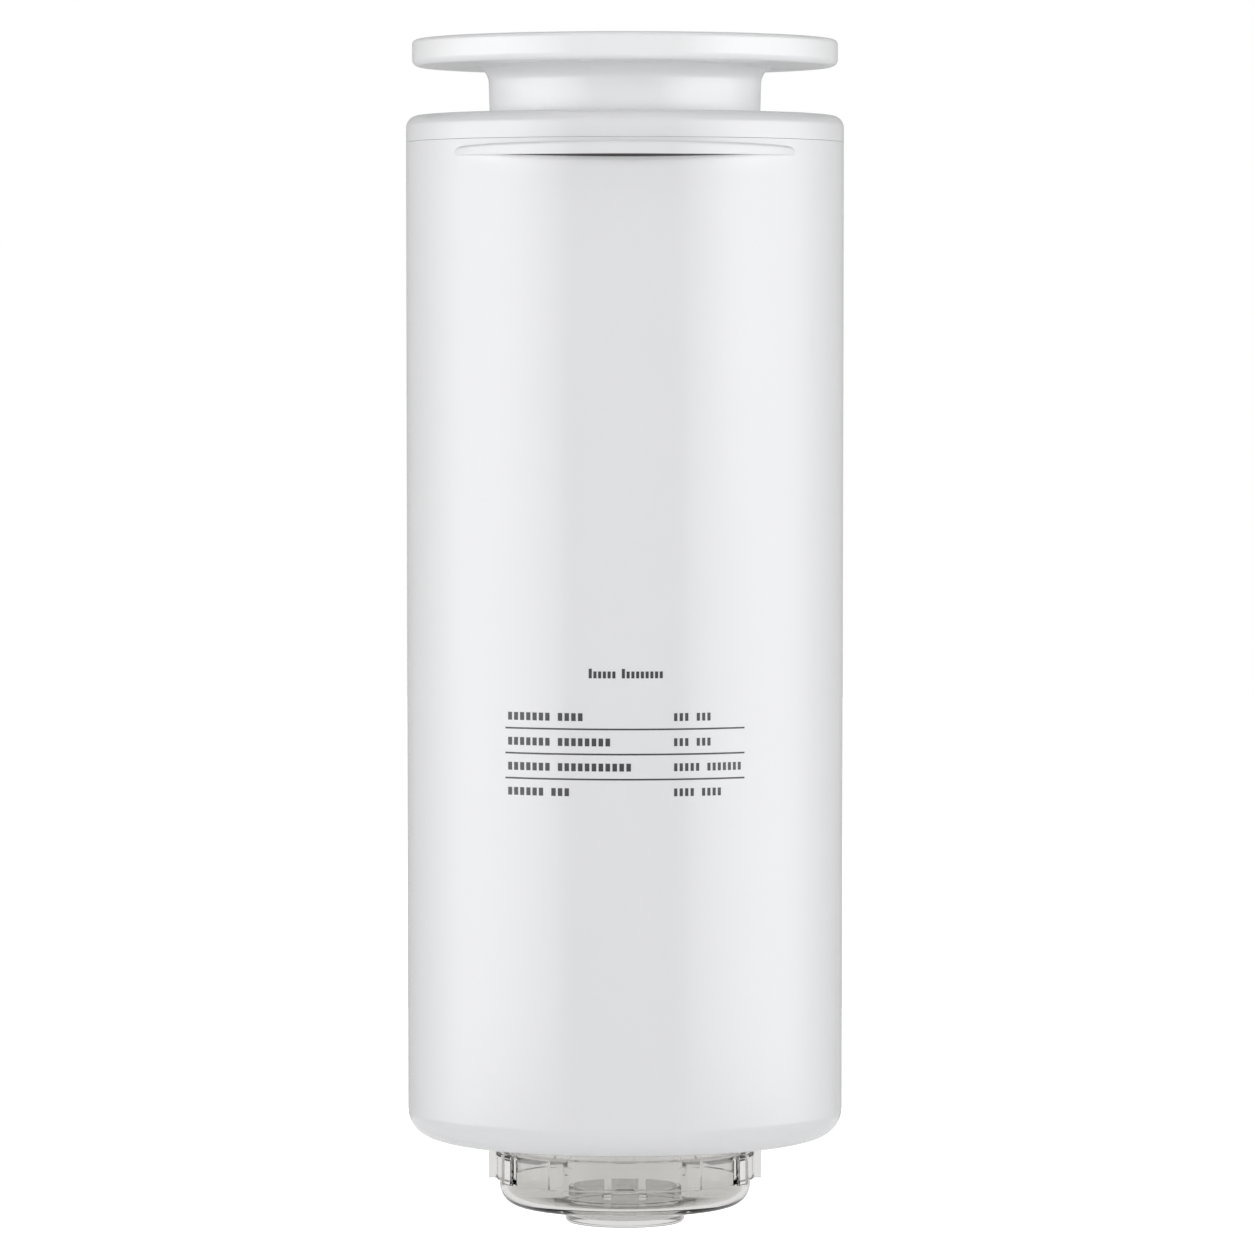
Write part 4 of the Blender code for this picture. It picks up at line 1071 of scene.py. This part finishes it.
def add_lid(sizes, shell):
    """The crowned lid with its spigot, ribs, tube locator and the seat of the knob."""
    radius = LID_HIGH.x
    seam = SHELL_HIGH.z + sizes.seam_gap
    edge = LID_HIGH.z - sizes.crown
    seat = LID_HIGH.z - sizes.seat_depth
    underside = seat - sizes.wall
    spigot_outside = radius - shell.wall - sizes.spigot_gap
    spigot_inside = spigot_outside - sizes.spigot_wall
    seat_radius = sizes.neck_radius - sizes.neck_draft + sizes.seat_gap
    locator_inside = TUBE_RADIUS + sizes.spigot_gap
    locator_outside = locator_inside + sizes.locator_wall
    locator_base = underside - sizes.locator_depth
    fine = sizes.fine_round
    corners = outline(
        (0.0, seat),
        (0.0, underside),
        (locator_inside, underside),
        (locator_inside, locator_base, fine),
        (locator_outside, locator_base, fine),
        (locator_outside, underside, fine),
        (spigot_inside, underside, fine),
        (spigot_inside, LID_LOW.z, fine),
        (spigot_outside, LID_LOW.z, fine),
        (spigot_outside, seam),
        (radius, seam, shell.rim_round),
        (radius, edge, sizes.edge_round),
        (seat_radius, LID_HIGH.z, fine),
        (seat_radius, seat),
    )
    made = turned("lid_cover", lambda turn: corners, evenly(TURN_STEPS))
    ribs = bar(
        "lid_ribs",
        locator_outside - OVERCUT,
        spigot_inside + OVERCUT,
        sizes.web_width,
        underside - sizes.rib_depth,
        underside + OVERCUT,
    )
    combine(made, repeated(ribs, sizes.ribs), "UNION")
    return made


def add_knob(sizes):
    """The spool-shaped knob, cored from below, with webs round its post."""
    top = KNOB_HIGH.z
    base = KNOB_LOW.z
    radius = KNOB_HIGH.x
    flange = top - sizes.flange_thickness
    roof = top - sizes.knob_wall
    neck_base = sizes.neck_radius - sizes.neck_draft
    core = neck_base - sizes.knob_wall
    fine = sizes.fine_round
    corners = outline(
        (0.0, top),
        (0.0, base),
        (sizes.post_radius, base, fine),
        (sizes.post_radius, roof, fine),
        (core, roof, fine),
        (core, base, fine),
        (neck_base, base, fine),
        (sizes.neck_radius, flange, sizes.neck_fillet),
        (radius, flange, sizes.flange_edge_round),
        (radius, top, sizes.flange_top_round),
    )
    made = turned("pull_knob", lambda turn: corners, evenly(TURN_STEPS))
    webs = bar(
        "knob_webs",
        sizes.post_radius - OVERCUT,
        core + OVERCUT,
        sizes.web_width,
        LID_HIGH.z + sizes.knob_wall,
        roof + OVERCUT,
    )
    combine(made, repeated(webs, sizes.webs), "UNION")
    return made


def add_cap(sizes, thread):
    """The clear cap: threaded neck, ribbed grip, bowl with its boss and the central pocket."""
    grip_top = -sizes.grip_drop
    grip_base = grip_top - sizes.grip_height
    bowl_base = grip_base - sizes.bowl_depth
    bowl_floor = bowl_base + sizes.bowl_wall
    bowl_inside = sizes.bowl_radius - sizes.bowl_wall
    neck_inside = sizes.neck_radius - sizes.neck_wall
    pocket_inside = sizes.pocket_radius - sizes.pocket_wall
    floor = CAP_LOW.z + sizes.pocket_floor
    rim = bowl_floor + sizes.pocket_rim
    fine = sizes.fine_round
    inner_round = sizes.bowl_round - sizes.bowl_wall
    corners = outline(
        (0.0, floor),
        (0.0, CAP_LOW.z),
        (sizes.boss_radius, CAP_LOW.z, sizes.boss_round),
        (sizes.boss_radius, bowl_base, fine),
        (sizes.bowl_radius, bowl_base, sizes.bowl_round),
        (sizes.bowl_radius, grip_base, fine),
        (sizes.grip_radius, grip_base, sizes.grip_round),
        (sizes.grip_radius, grip_top, sizes.grip_round),
        (sizes.neck_radius, grip_top, fine),
        *groove(sizes.neck_radius, sizes.seal_height, sizes.groove_depth, sizes.groove_half),
        (sizes.neck_radius, CAP_HIGH.z, fine),
        (neck_inside, CAP_HIGH.z, fine),
        (neck_inside, grip_top, fine),
        (bowl_inside, grip_top - sizes.neck_wall, fine),
        (bowl_inside, bowl_floor, inner_round),
        (sizes.pocket_radius, bowl_floor, fine),
        (sizes.pocket_radius, rim, fine),
        (pocket_inside, rim, fine),
        (pocket_inside, floor, fine),
    )
    made = turned("clear_cap", lambda turn: corners, evenly(TURN_STEPS))
    rib = bar(
        "grip_ribs",
        sizes.grip_radius - OVERCUT - sizes.rib_round,
        -CAP_LOW.y,
        sizes.rib_width,
        grip_base + sizes.rib_inset,
        grip_top - sizes.rib_inset,
        bevel=sizes.rib_round,
    )
    combine(made, repeated(rib, sizes.ribs), "UNION")
    for side in (-sizes.notch_angle, sizes.notch_angle):
        notch = bar(
            "pocket_notch",
            pocket_inside - OVERCUT,
            sizes.pocket_radius + OVERCUT,
            sizes.notch_width,
            bowl_floor + OVERCUT,
            rim + OVERCUT,
            turn=math.pi / 2 + side,
        )
        combine(made, repeated(notch, 2), "DIFFERENCE")
    ridges = thread_ridges("cap_thread", thread, thread.cap_start, sizes.neck_radius, thread.ridge)
    combine(made, ridges, "UNION")
    return made


def add_core(sizes):
    """The stepped port core with its seal grooves, bore and brine channels."""
    base = CORE_LOW.z
    top = CORE_HIGH.z
    flange_radius = CORE_HIGH.x
    seat = sizes.seat
    shelf = seat + sizes.flange_thickness
    brine_top = shelf + sizes.spigot_height
    brine_inside = sizes.spigot_radius - sizes.spigot_wall
    fine = sizes.edge_round

    def seal_groove(radius, node, section):
        low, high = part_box(node)
        return groove(radius, (low.z + high.z) / 2, sizes.seal_depth, section + sizes.seal_gap)

    seal_circle = (sizes.nozzle_radius + flange_radius) / 2
    seal_inside = seal_circle - sizes.seal_section - sizes.seal_gap
    seal_outside = seal_circle + sizes.seal_section + sizes.seal_gap
    corners = outline(
        (sizes.bore, top, fine),
        (sizes.bore, base, fine),
        (sizes.nozzle_radius - sizes.nozzle_chamfer, base),
        (sizes.nozzle_radius, base + sizes.nozzle_chamfer),
        *seal_groove(sizes.nozzle_radius, "nozzle_seal_lower", sizes.nozzle_section),
        *seal_groove(sizes.nozzle_radius, "nozzle_seal_upper", sizes.nozzle_section),
        (sizes.nozzle_radius, seat),
        (seal_inside, seat),
        (seal_inside, seat + sizes.seal_depth),
        (seal_outside, seat + sizes.seal_depth),
        (seal_outside, seat),
        (flange_radius, seat, fine),
        (flange_radius, shelf, fine),
        (sizes.spigot_radius, shelf),
        *seal_groove(sizes.spigot_radius, "brine_seal", sizes.seal_section),
        (sizes.spigot_radius, brine_top, fine),
        (brine_inside, brine_top, fine),
        (brine_inside, shelf),
        (sizes.tube_spigot_radius, shelf),
        *seal_groove(sizes.tube_spigot_radius, "tube_seal_lower", sizes.seal_section),
        *seal_groove(sizes.tube_spigot_radius, "tube_seal_upper", sizes.seal_section),
        (sizes.tube_spigot_radius, top, fine),
    )
    made = turned("nozzle_core", lambda turn: corners, evenly(INNER_STEPS))
    channel_circle = (sizes.tube_spigot_radius + sizes.nozzle_radius - sizes.seal_depth) / 2
    channels = rod(
        "brine_channel_cutters",
        channel_circle,
        sizes.channel_radius,
        base - OVERCUT,
        shelf + OVERCUT,
        HOLE_SIDES,
    )
    combine(made, repeated(channels, sizes.channels), "DIFFERENCE")
    return made


def add_seal(node, section):
    """A round seal ring in the place of a seal of the frame."""
    low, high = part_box(node)
    middle = (low.z + high.z) / 2
    circle = high.x - section
    ring = [
        Vector((circle + section * math.cos(turn), middle + section * math.sin(turn)))
        for turn in evenly(SEAL_SIDES)
    ]
    return turned(node + "_ring", lambda turn: ring, evenly(TURN_STEPS))


def word(start, letters, pitch, gap, tall, height, low=1.0):
    """(place, size) of the marks of one word; marks after the first may be lower."""
    marks = []
    for index in range(letters):
        mark_tall = tall * (low if index else 1.0)
        place = (start + pitch * index + (pitch - gap) / 2, height - (tall - mark_tall) / 2)
        marks.append((place, (pitch - gap, mark_tall)))
    return marks


def printed_marks(sizes):
    """(place, size) of every mark: a title, and rows of marks in two columns."""
    marks = []
    pitch = sizes.title_pitch
    gap = sizes.mark_gap * TITLE_GAP
    height = sizes.title_height
    start = sizes.title_shift - pitch * (sum(TITLE_WORDS) + 1) / 2
    for letters in TITLE_WORDS:
        marks += word(start, letters, pitch, gap, sizes.title_tall, height, TITLE_LOW)
        start += pitch * (letters + 1)
    columns = (
        (sizes.left_column, sizes.left_pitch, LEFT_WORDS),
        (sizes.right_column, sizes.right_pitch, RIGHT_WORDS),
    )
    for column, pitch, rows in columns:
        for row, words in enumerate(rows):
            start = column
            for letters in words:
                height = sizes.first_row - sizes.row_pitch * row
                marks += word(start, letters, pitch, sizes.mark_gap, sizes.mark_height, height)
                start += pitch * letters + sizes.word_space
    return marks


def add_print(sizes, shell, ink):
    """The printed marks and the rules, each set of them thin solids bent round the wall."""
    rules = []
    for row in range(len(LEFT_WORDS) - 1):
        height = sizes.first_row - sizes.row_pitch * row - sizes.rule_drop
        rules.append(((0.0, height), (2 * sizes.rule_half_width, sizes.rule_thickness)))
    base_radius = SHELL_HIGH.x - shell.draft
    pieces = []
    for name, marks, divisions in (
        ("print_marks", printed_marks(sizes), MARK_DIVISIONS),
        ("print_rules", rules, RULE_DIVISIONS),
    ):
        mesh = bpy.data.meshes.new(name)
        mesh.from_pydata([(place[0], 0.0, place[1]) for place, size in marks], [], [])
        stored = mesh.attributes.new("size", "FLOAT_VECTOR", "POINT")
        for item, (place, size) in zip(stored.data, marks):
            item.vector = (size[0], 2 * sizes.ink_and_shadow_depth, size[1])
        made = bpy.data.objects.new(name, mesh)
        bpy.context.scene.collection.objects.link(made)
        run_tree(
            made,
            mark_tree(),
            ink,
            Divisions=divisions,
            Radius=base_radius,
            Slope=shell.draft / SHELL_HIGH.z,
        )
        pieces.append(made)
    return pieces


def settle(made, material, body, slot, *nodes):
    """Finishes a piece: its material, the body it rides on and the CAD nodes it stands for."""
    dress(made, material)
    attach(made, body)
    if nodes:
        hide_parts(*nodes)


def add_lamp(name, azimuth, distance, elevation, aim, size, radiance):
    """A square lamp that faces a spot on the axis; azimuth 0 stands in front.

    It lights the object, and neither the camera nor a reflection sees it. Its power is the
    radiance of its face times pi times its area.
    """
    light = bpy.data.lights.new(name, "AREA")
    light.shape = "SQUARE"
    light.size = size
    light.energy = radiance * math.pi * size**2
    direction = polar(math.cos(elevation), azimuth - math.pi / 2, math.sin(elevation))
    lamp = bpy.data.objects.new(name, light)
    lamp.location = Vector((0.0, 0.0, aim)) + direction * distance
    lamp.rotation_euler = direction.to_track_quat("Z", "Y").to_euler()
    lamp.visible_camera = False
    lamp.visible_glossy = False
    lamp.visible_transmission = False
    bpy.context.scene.collection.objects.link(lamp)


def add_stage_mesh(name, shape, material):
    """The floor or the reflector from a bmesh."""
    mesh = bpy.data.meshes.new(name)
    shape.to_mesh(mesh)
    shape.free()
    mesh.materials.append(material)
    made = bpy.data.objects.new(name, mesh)
    bpy.context.scene.collection.objects.link(made)
    return made


def add_reflector(settings):
    """A round screen that only reflections see; it draws the soft bands down the body.

    A long way to the screen means a glancing reflection, which is dimmed so that the
    object's edges stay clear of the white background from every side.
    """
    material = bpy.data.materials.new("reflector")
    material.use_nodes = True
    graph = Graph(material.node_tree)
    shade = graph.signal("ShaderNodeAttribute", {"attribute_name": "shade"}, output="Fac")
    way = graph.ray("Ray Length") / settings.reflector_radius
    glance = ((way - GLANCE_START) / (GLANCE_END - GLANCE_START)).most(0.0).least(1.0)
    limit = (1.0 - glance) * max(radiance for degrees, radiance in REFLECTIONS)
    shade = shade.least(limit.most(settings.glance_limit))
    light = graph.vector(shade, shade, shade)
    glow = graph.add("ShaderNodeEmission", inputs={"Color": light})
    graph.add("ShaderNodeOutputMaterial", inputs={"Surface": glow.outputs[0]})
    low = CAD_BOX[0].z - settings.floor_drop
    shape = bmesh.new()
    shades = []
    for side in (-1, 1):
        column = None
        for degrees, radiance in REFLECTIONS:
            turn = side * math.radians(degrees) - math.pi / 2
            following = [
                shape.verts.new(polar(settings.reflector_radius, turn, level))
                for level in (low, settings.reflector_top)
            ]
            shades += [radiance] * len(following)
            if column:
                shape.faces.new((*column, *reversed(following)))
            column = following
    screen = add_stage_mesh("reflector", shape, material)
    stored = screen.data.attributes.new("shade", "FLOAT_COLOR", "POINT")
    for item, radiance in zip(stored.data, shades):
        item.color = (radiance, radiance, radiance, 1.0)
    screen.visible_camera = False
    screen.visible_diffuse = False
    screen.visible_transmission = False
    screen.visible_shadow = False


def add_floor(settings):
    """A white floor that keeps a soft shadow and ends in the white background."""
    place = Matrix.Translation((0.0, 0.0, CAD_BOX[0].z - settings.floor_drop))
    half_size = settings.floor_size / 2
    shape = bmesh.new()
    bmesh.ops.create_grid(shape, x_segments=1, y_segments=1, size=half_size, matrix=place)
    made = Finish("floor", (settings.floor_albedo,) * 3, FLOOR_ROUGHNESS)
    made.shader.inputs["Specular IOR Level"].default_value = 0.0
    made.shader.inputs["Emission Strength"].default_value = 1.0
    graph = made.graph
    x, y, z = graph.parts(made.place)
    far = 1.0 - 1.0 / (1.0 + (x * x + y * y) / settings.floor_reach**2)
    mirrored = graph.ray("Is Glossy Ray") * settings.floor_mirror
    seen = graph.ray("Is Camera Ray").most(mirrored)
    through = graph.ray("Is Transmission Ray")
    white = (settings.floor_glow + settings.floor_fade * far**2) * seen
    glow = white.most(through * settings.floor_through).most(settings.floor_light)
    made.vary("Emission Color", graph.vector(glow, glow, glow))
    lit = (1.0 - through) * settings.floor_albedo
    made.vary("Base Color", graph.vector(lit, lit, lit))
    add_stage_mesh("floor", shape, made.material)


def set_world(settings):
    """White to the camera and through clear plastic, softer in reflections and as light."""
    world = bpy.data.worlds.new("white_studio")
    world.use_nodes = True
    graph = Graph(world.node_tree)
    seen = graph.ray("Is Camera Ray").most(graph.ray("Is Transmission Ray"))
    mirrored = graph.ray("Is Glossy Ray") * settings.world_mirror
    strength = seen.most(mirrored).most(settings.ambient)
    inputs = {"Color": (1.0, 1.0, 1.0, 1.0), "Strength": strength}
    background = graph.add("ShaderNodeBackground", inputs=inputs)
    graph.add("ShaderNodeOutputWorld", inputs={"Surface": background.outputs[0]})
    bpy.context.scene.world = world


def add_camera(settings):
    """The camera in front of the object, above its middle and looking a little down."""
    camera = bpy.data.objects.new("camera", bpy.data.cameras.new("camera"))
    camera.data.lens = settings.focal_length
    camera.location = (settings.camera_offset, -settings.camera_distance, settings.camera_height)
    camera.rotation_euler = (math.pi / 2 - settings.camera_tilt, 0.0, 0.0)
    bpy.context.scene.collection.objects.link(camera)
    bpy.context.scene.camera = camera
    bpy.context.scene.view_settings.view_transform = "Standard"


class CARTRIDGE_OT_housing(bpy.types.Operator):
    """Build the housing shell with its catch ledge and port socket"""

    bl_idname = "cartridge.add_housing"
    bl_label = "Add Housing"

    def execute(self, context):
        given = context.scene.cartridge
        made = add_housing(given.housing, given.thread)
        settle(made, housing_plastic(given), "housing", "white_housing", "housing_shell")
        # The dark strip under the ledge is painted shadow, made in the seal rubber's colour.
        gap = add_painted_ledge_shadow(given.housing)
        settle(gap, seal_rubber("painted_shadow_dark", given.colours.rubber), "housing", "seal_rubber")
        return {"FINISHED"}


class CARTRIDGE_OT_lid(bpy.types.Operator):
    """Build the lid and the pull knob"""

    bl_idname = "cartridge.add_lid"
    bl_label = "Add Lid and Knob"

    def execute(self, context):
        given = context.scene.cartridge
        lid = add_lid(given.lid, given.housing)
        settle(lid, housing_plastic(given), "housing", "white_housing", "end_lid")
        knob = add_knob(given.lid)
        # A lighter copy of the white plastic: painted light on the knob's shaded neck and
        # underside.
        lighter = moulded_plastic("knob_painted_light_plastic", given.colours.knob, GLOSS_ROUGHNESS)
        settle(knob, lighter, "housing", "white_housing", "handle_knob")
        return {"FINISHED"}


class CARTRIDGE_OT_cap(bpy.types.Operator):
    """Build the clear screw cap and its seal ring"""

    bl_idname = "cartridge.add_cap"
    bl_label = "Add Clear Cap"

    def execute(self, context):
        given = context.scene.cartridge
        cap = add_cap(given.cap, given.thread)
        clear = clear_plastic("clear_cap", given.colours.clear)
        settle(cap, clear, "cap", "clear_cap", "transit_cap")
        seal = add_seal("cap_seal", given.cap.seal_section)
        silicone = seal_rubber("clear_silicone", given.colours.silicone)
        settle(seal, silicone, "seal", "seal_rubber", "cap_seal")
        return {"FINISHED"}


class CARTRIDGE_OT_ports(bpy.types.Operator):
    """Build the port core and the seal rings inside the housing"""

    bl_idname = "cartridge.add_ports"
    bl_label = "Add Port Core and Seals"

    def execute(self, context):
        given = context.scene.cartridge
        core = add_core(given.core)
        white = moulded_plastic("core_plastic", given.colours.core, CORE_ROUGHNESS)
        settle(core, white, "housing", "white_core", "port_core")
        rubber = seal_rubber("seal_rubber", given.colours.rubber)
        sections = dict.fromkeys(NOZZLE_SEALS, given.core.nozzle_section)
        sections.update(dict.fromkeys(INNER_SEALS, given.core.seal_section))
        for node, section in sections.items():
            seal = add_seal(node, section)
            settle(seal, rubber, "housing", "seal_rubber", node)
        return {"FINISHED"}


class CARTRIDGE_OT_print(bpy.types.Operator):
    """Print plain marks and rules on the housing's front"""

    bl_idname = "cartridge.add_print"
    bl_label = "Add Print"

    def execute(self, context):
        given = context.scene.cartridge
        ink = printed_ink("printed_ink", given.colours.ink)
        for made in add_print(given.marks, given.housing, ink):
            settle(made, ink, "housing", None)
        return {"FINISHED"}


class CARTRIDGE_OT_element(bpy.types.Operator):
    """Give the membrane element inside the housing its finishes"""

    bl_idname = "cartridge.finish_element"
    bl_label = "Finish Element"

    def execute(self, context):
        colours = context.scene.cartridge.colours
        grey = moulded_plastic("grey_moulding", colours.grey, CORE_ROUGHNESS)
        white = moulded_plastic("tube_plastic", colours.core, CORE_ROUGHNESS)
        leaves = wound_leaves("membrane_leaves", colours.leaves)
        tape = wrap_tape("wrap_tape", colours.tape)
        finishes = {
            "brine_cup": grey,
            "upper_end_ring": grey,
            "tube_plug": grey,
            "permeate_tube": white,
            "membrane_roll": leaves,
            "roll_wrap": tape,
        }
        for name, material in finishes.items():
            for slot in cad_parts[name].material_slots:
                slot.material = material
        return {"FINISHED"}


class CARTRIDGE_OT_stage(bpy.types.Operator):
    """Set the floor, the lamps, the world and the camera"""

    bl_idname = "cartridge.set_stage"
    bl_label = "Set Stage"

    def execute(self, context):
        given = context.scene.cartridge.stage
        set_world(given)
        add_floor(given)
        add_reflector(given)
        side = (given.side_elevation, SHELL_HIGH.z / 2, given.side_size, given.side_radiance)
        front = (given.front_elevation, SHELL_HIGH.z / 2, given.front_size, given.front_radiance)
        back = (given.front_elevation, SHELL_HIGH.z / 2, given.front_size, given.back_radiance)
        top = (given.top_elevation, KNOB_HIGH.z, given.top_size, given.top_radiance)
        add_lamp("left_lamp", -given.side_azimuth, given.lamp_distance, *side)
        add_lamp("right_lamp", given.side_azimuth, given.lamp_distance, *side)
        add_lamp("front_lamp", 0.0, given.lamp_distance, *front)
        add_lamp("back_lamp", math.pi, given.lamp_distance, *back)
        add_lamp("top_lamp", 0.0, given.lamp_distance, *top)
        add_camera(given)
        return {"FINISHED"}


class CARTRIDGE_PT_panel(bpy.types.Panel):
    """The cartridge's operators and settings in the sidebar"""

    bl_label = "Cartridge"
    bl_idname = "CARTRIDGE_PT_panel"
    bl_space_type = "VIEW_3D"
    bl_region_type = "UI"
    bl_category = "Cartridge"

    def draw(self, context):
        given = context.scene.cartridge
        for operator in OPERATORS:
            self.layout.operator(operator.bl_idname)
        for chosen in CartridgeSettings.__annotations__:
            sizes = getattr(given, chosen)
            box = self.layout.box()
            box.label(text=chosen.capitalize())
            for name in sizes.__annotations__:
                box.prop(sizes, name)


OPERATORS = (
    CARTRIDGE_OT_housing,
    CARTRIDGE_OT_lid,
    CARTRIDGE_OT_cap,
    CARTRIDGE_OT_ports,
    CARTRIDGE_OT_print,
    CARTRIDGE_OT_element,
    CARTRIDGE_OT_stage,
)
CLASSES = (
    HousingSizes,
    LidSizes,
    CapSizes,
    ThreadSizes,
    CoreSizes,
    PrintSizes,
    FinishColours,
    StageSettings,
    CartridgeSettings,
    *OPERATORS,
    CARTRIDGE_PT_panel,
)


def register():
    for item in CLASSES:
        bpy.utils.register_class(item)
    bpy.types.Scene.cartridge = bpy.props.PointerProperty(
        name="Cartridge", description="Settings of the cartridge", type=CartridgeSettings
    )


def unregister():
    del bpy.types.Scene.cartridge
    for item in reversed(CLASSES):
        bpy.utils.unregister_class(item)


def main():
    register()
    bpy.ops.cartridge.add_housing()
    bpy.ops.cartridge.add_lid()
    bpy.ops.cartridge.add_cap()
    bpy.ops.cartridge.add_ports()
    bpy.ops.cartridge.add_print()
    bpy.ops.cartridge.finish_element()
    bpy.ops.cartridge.set_stage()


if __name__ == "__main__":
    main()
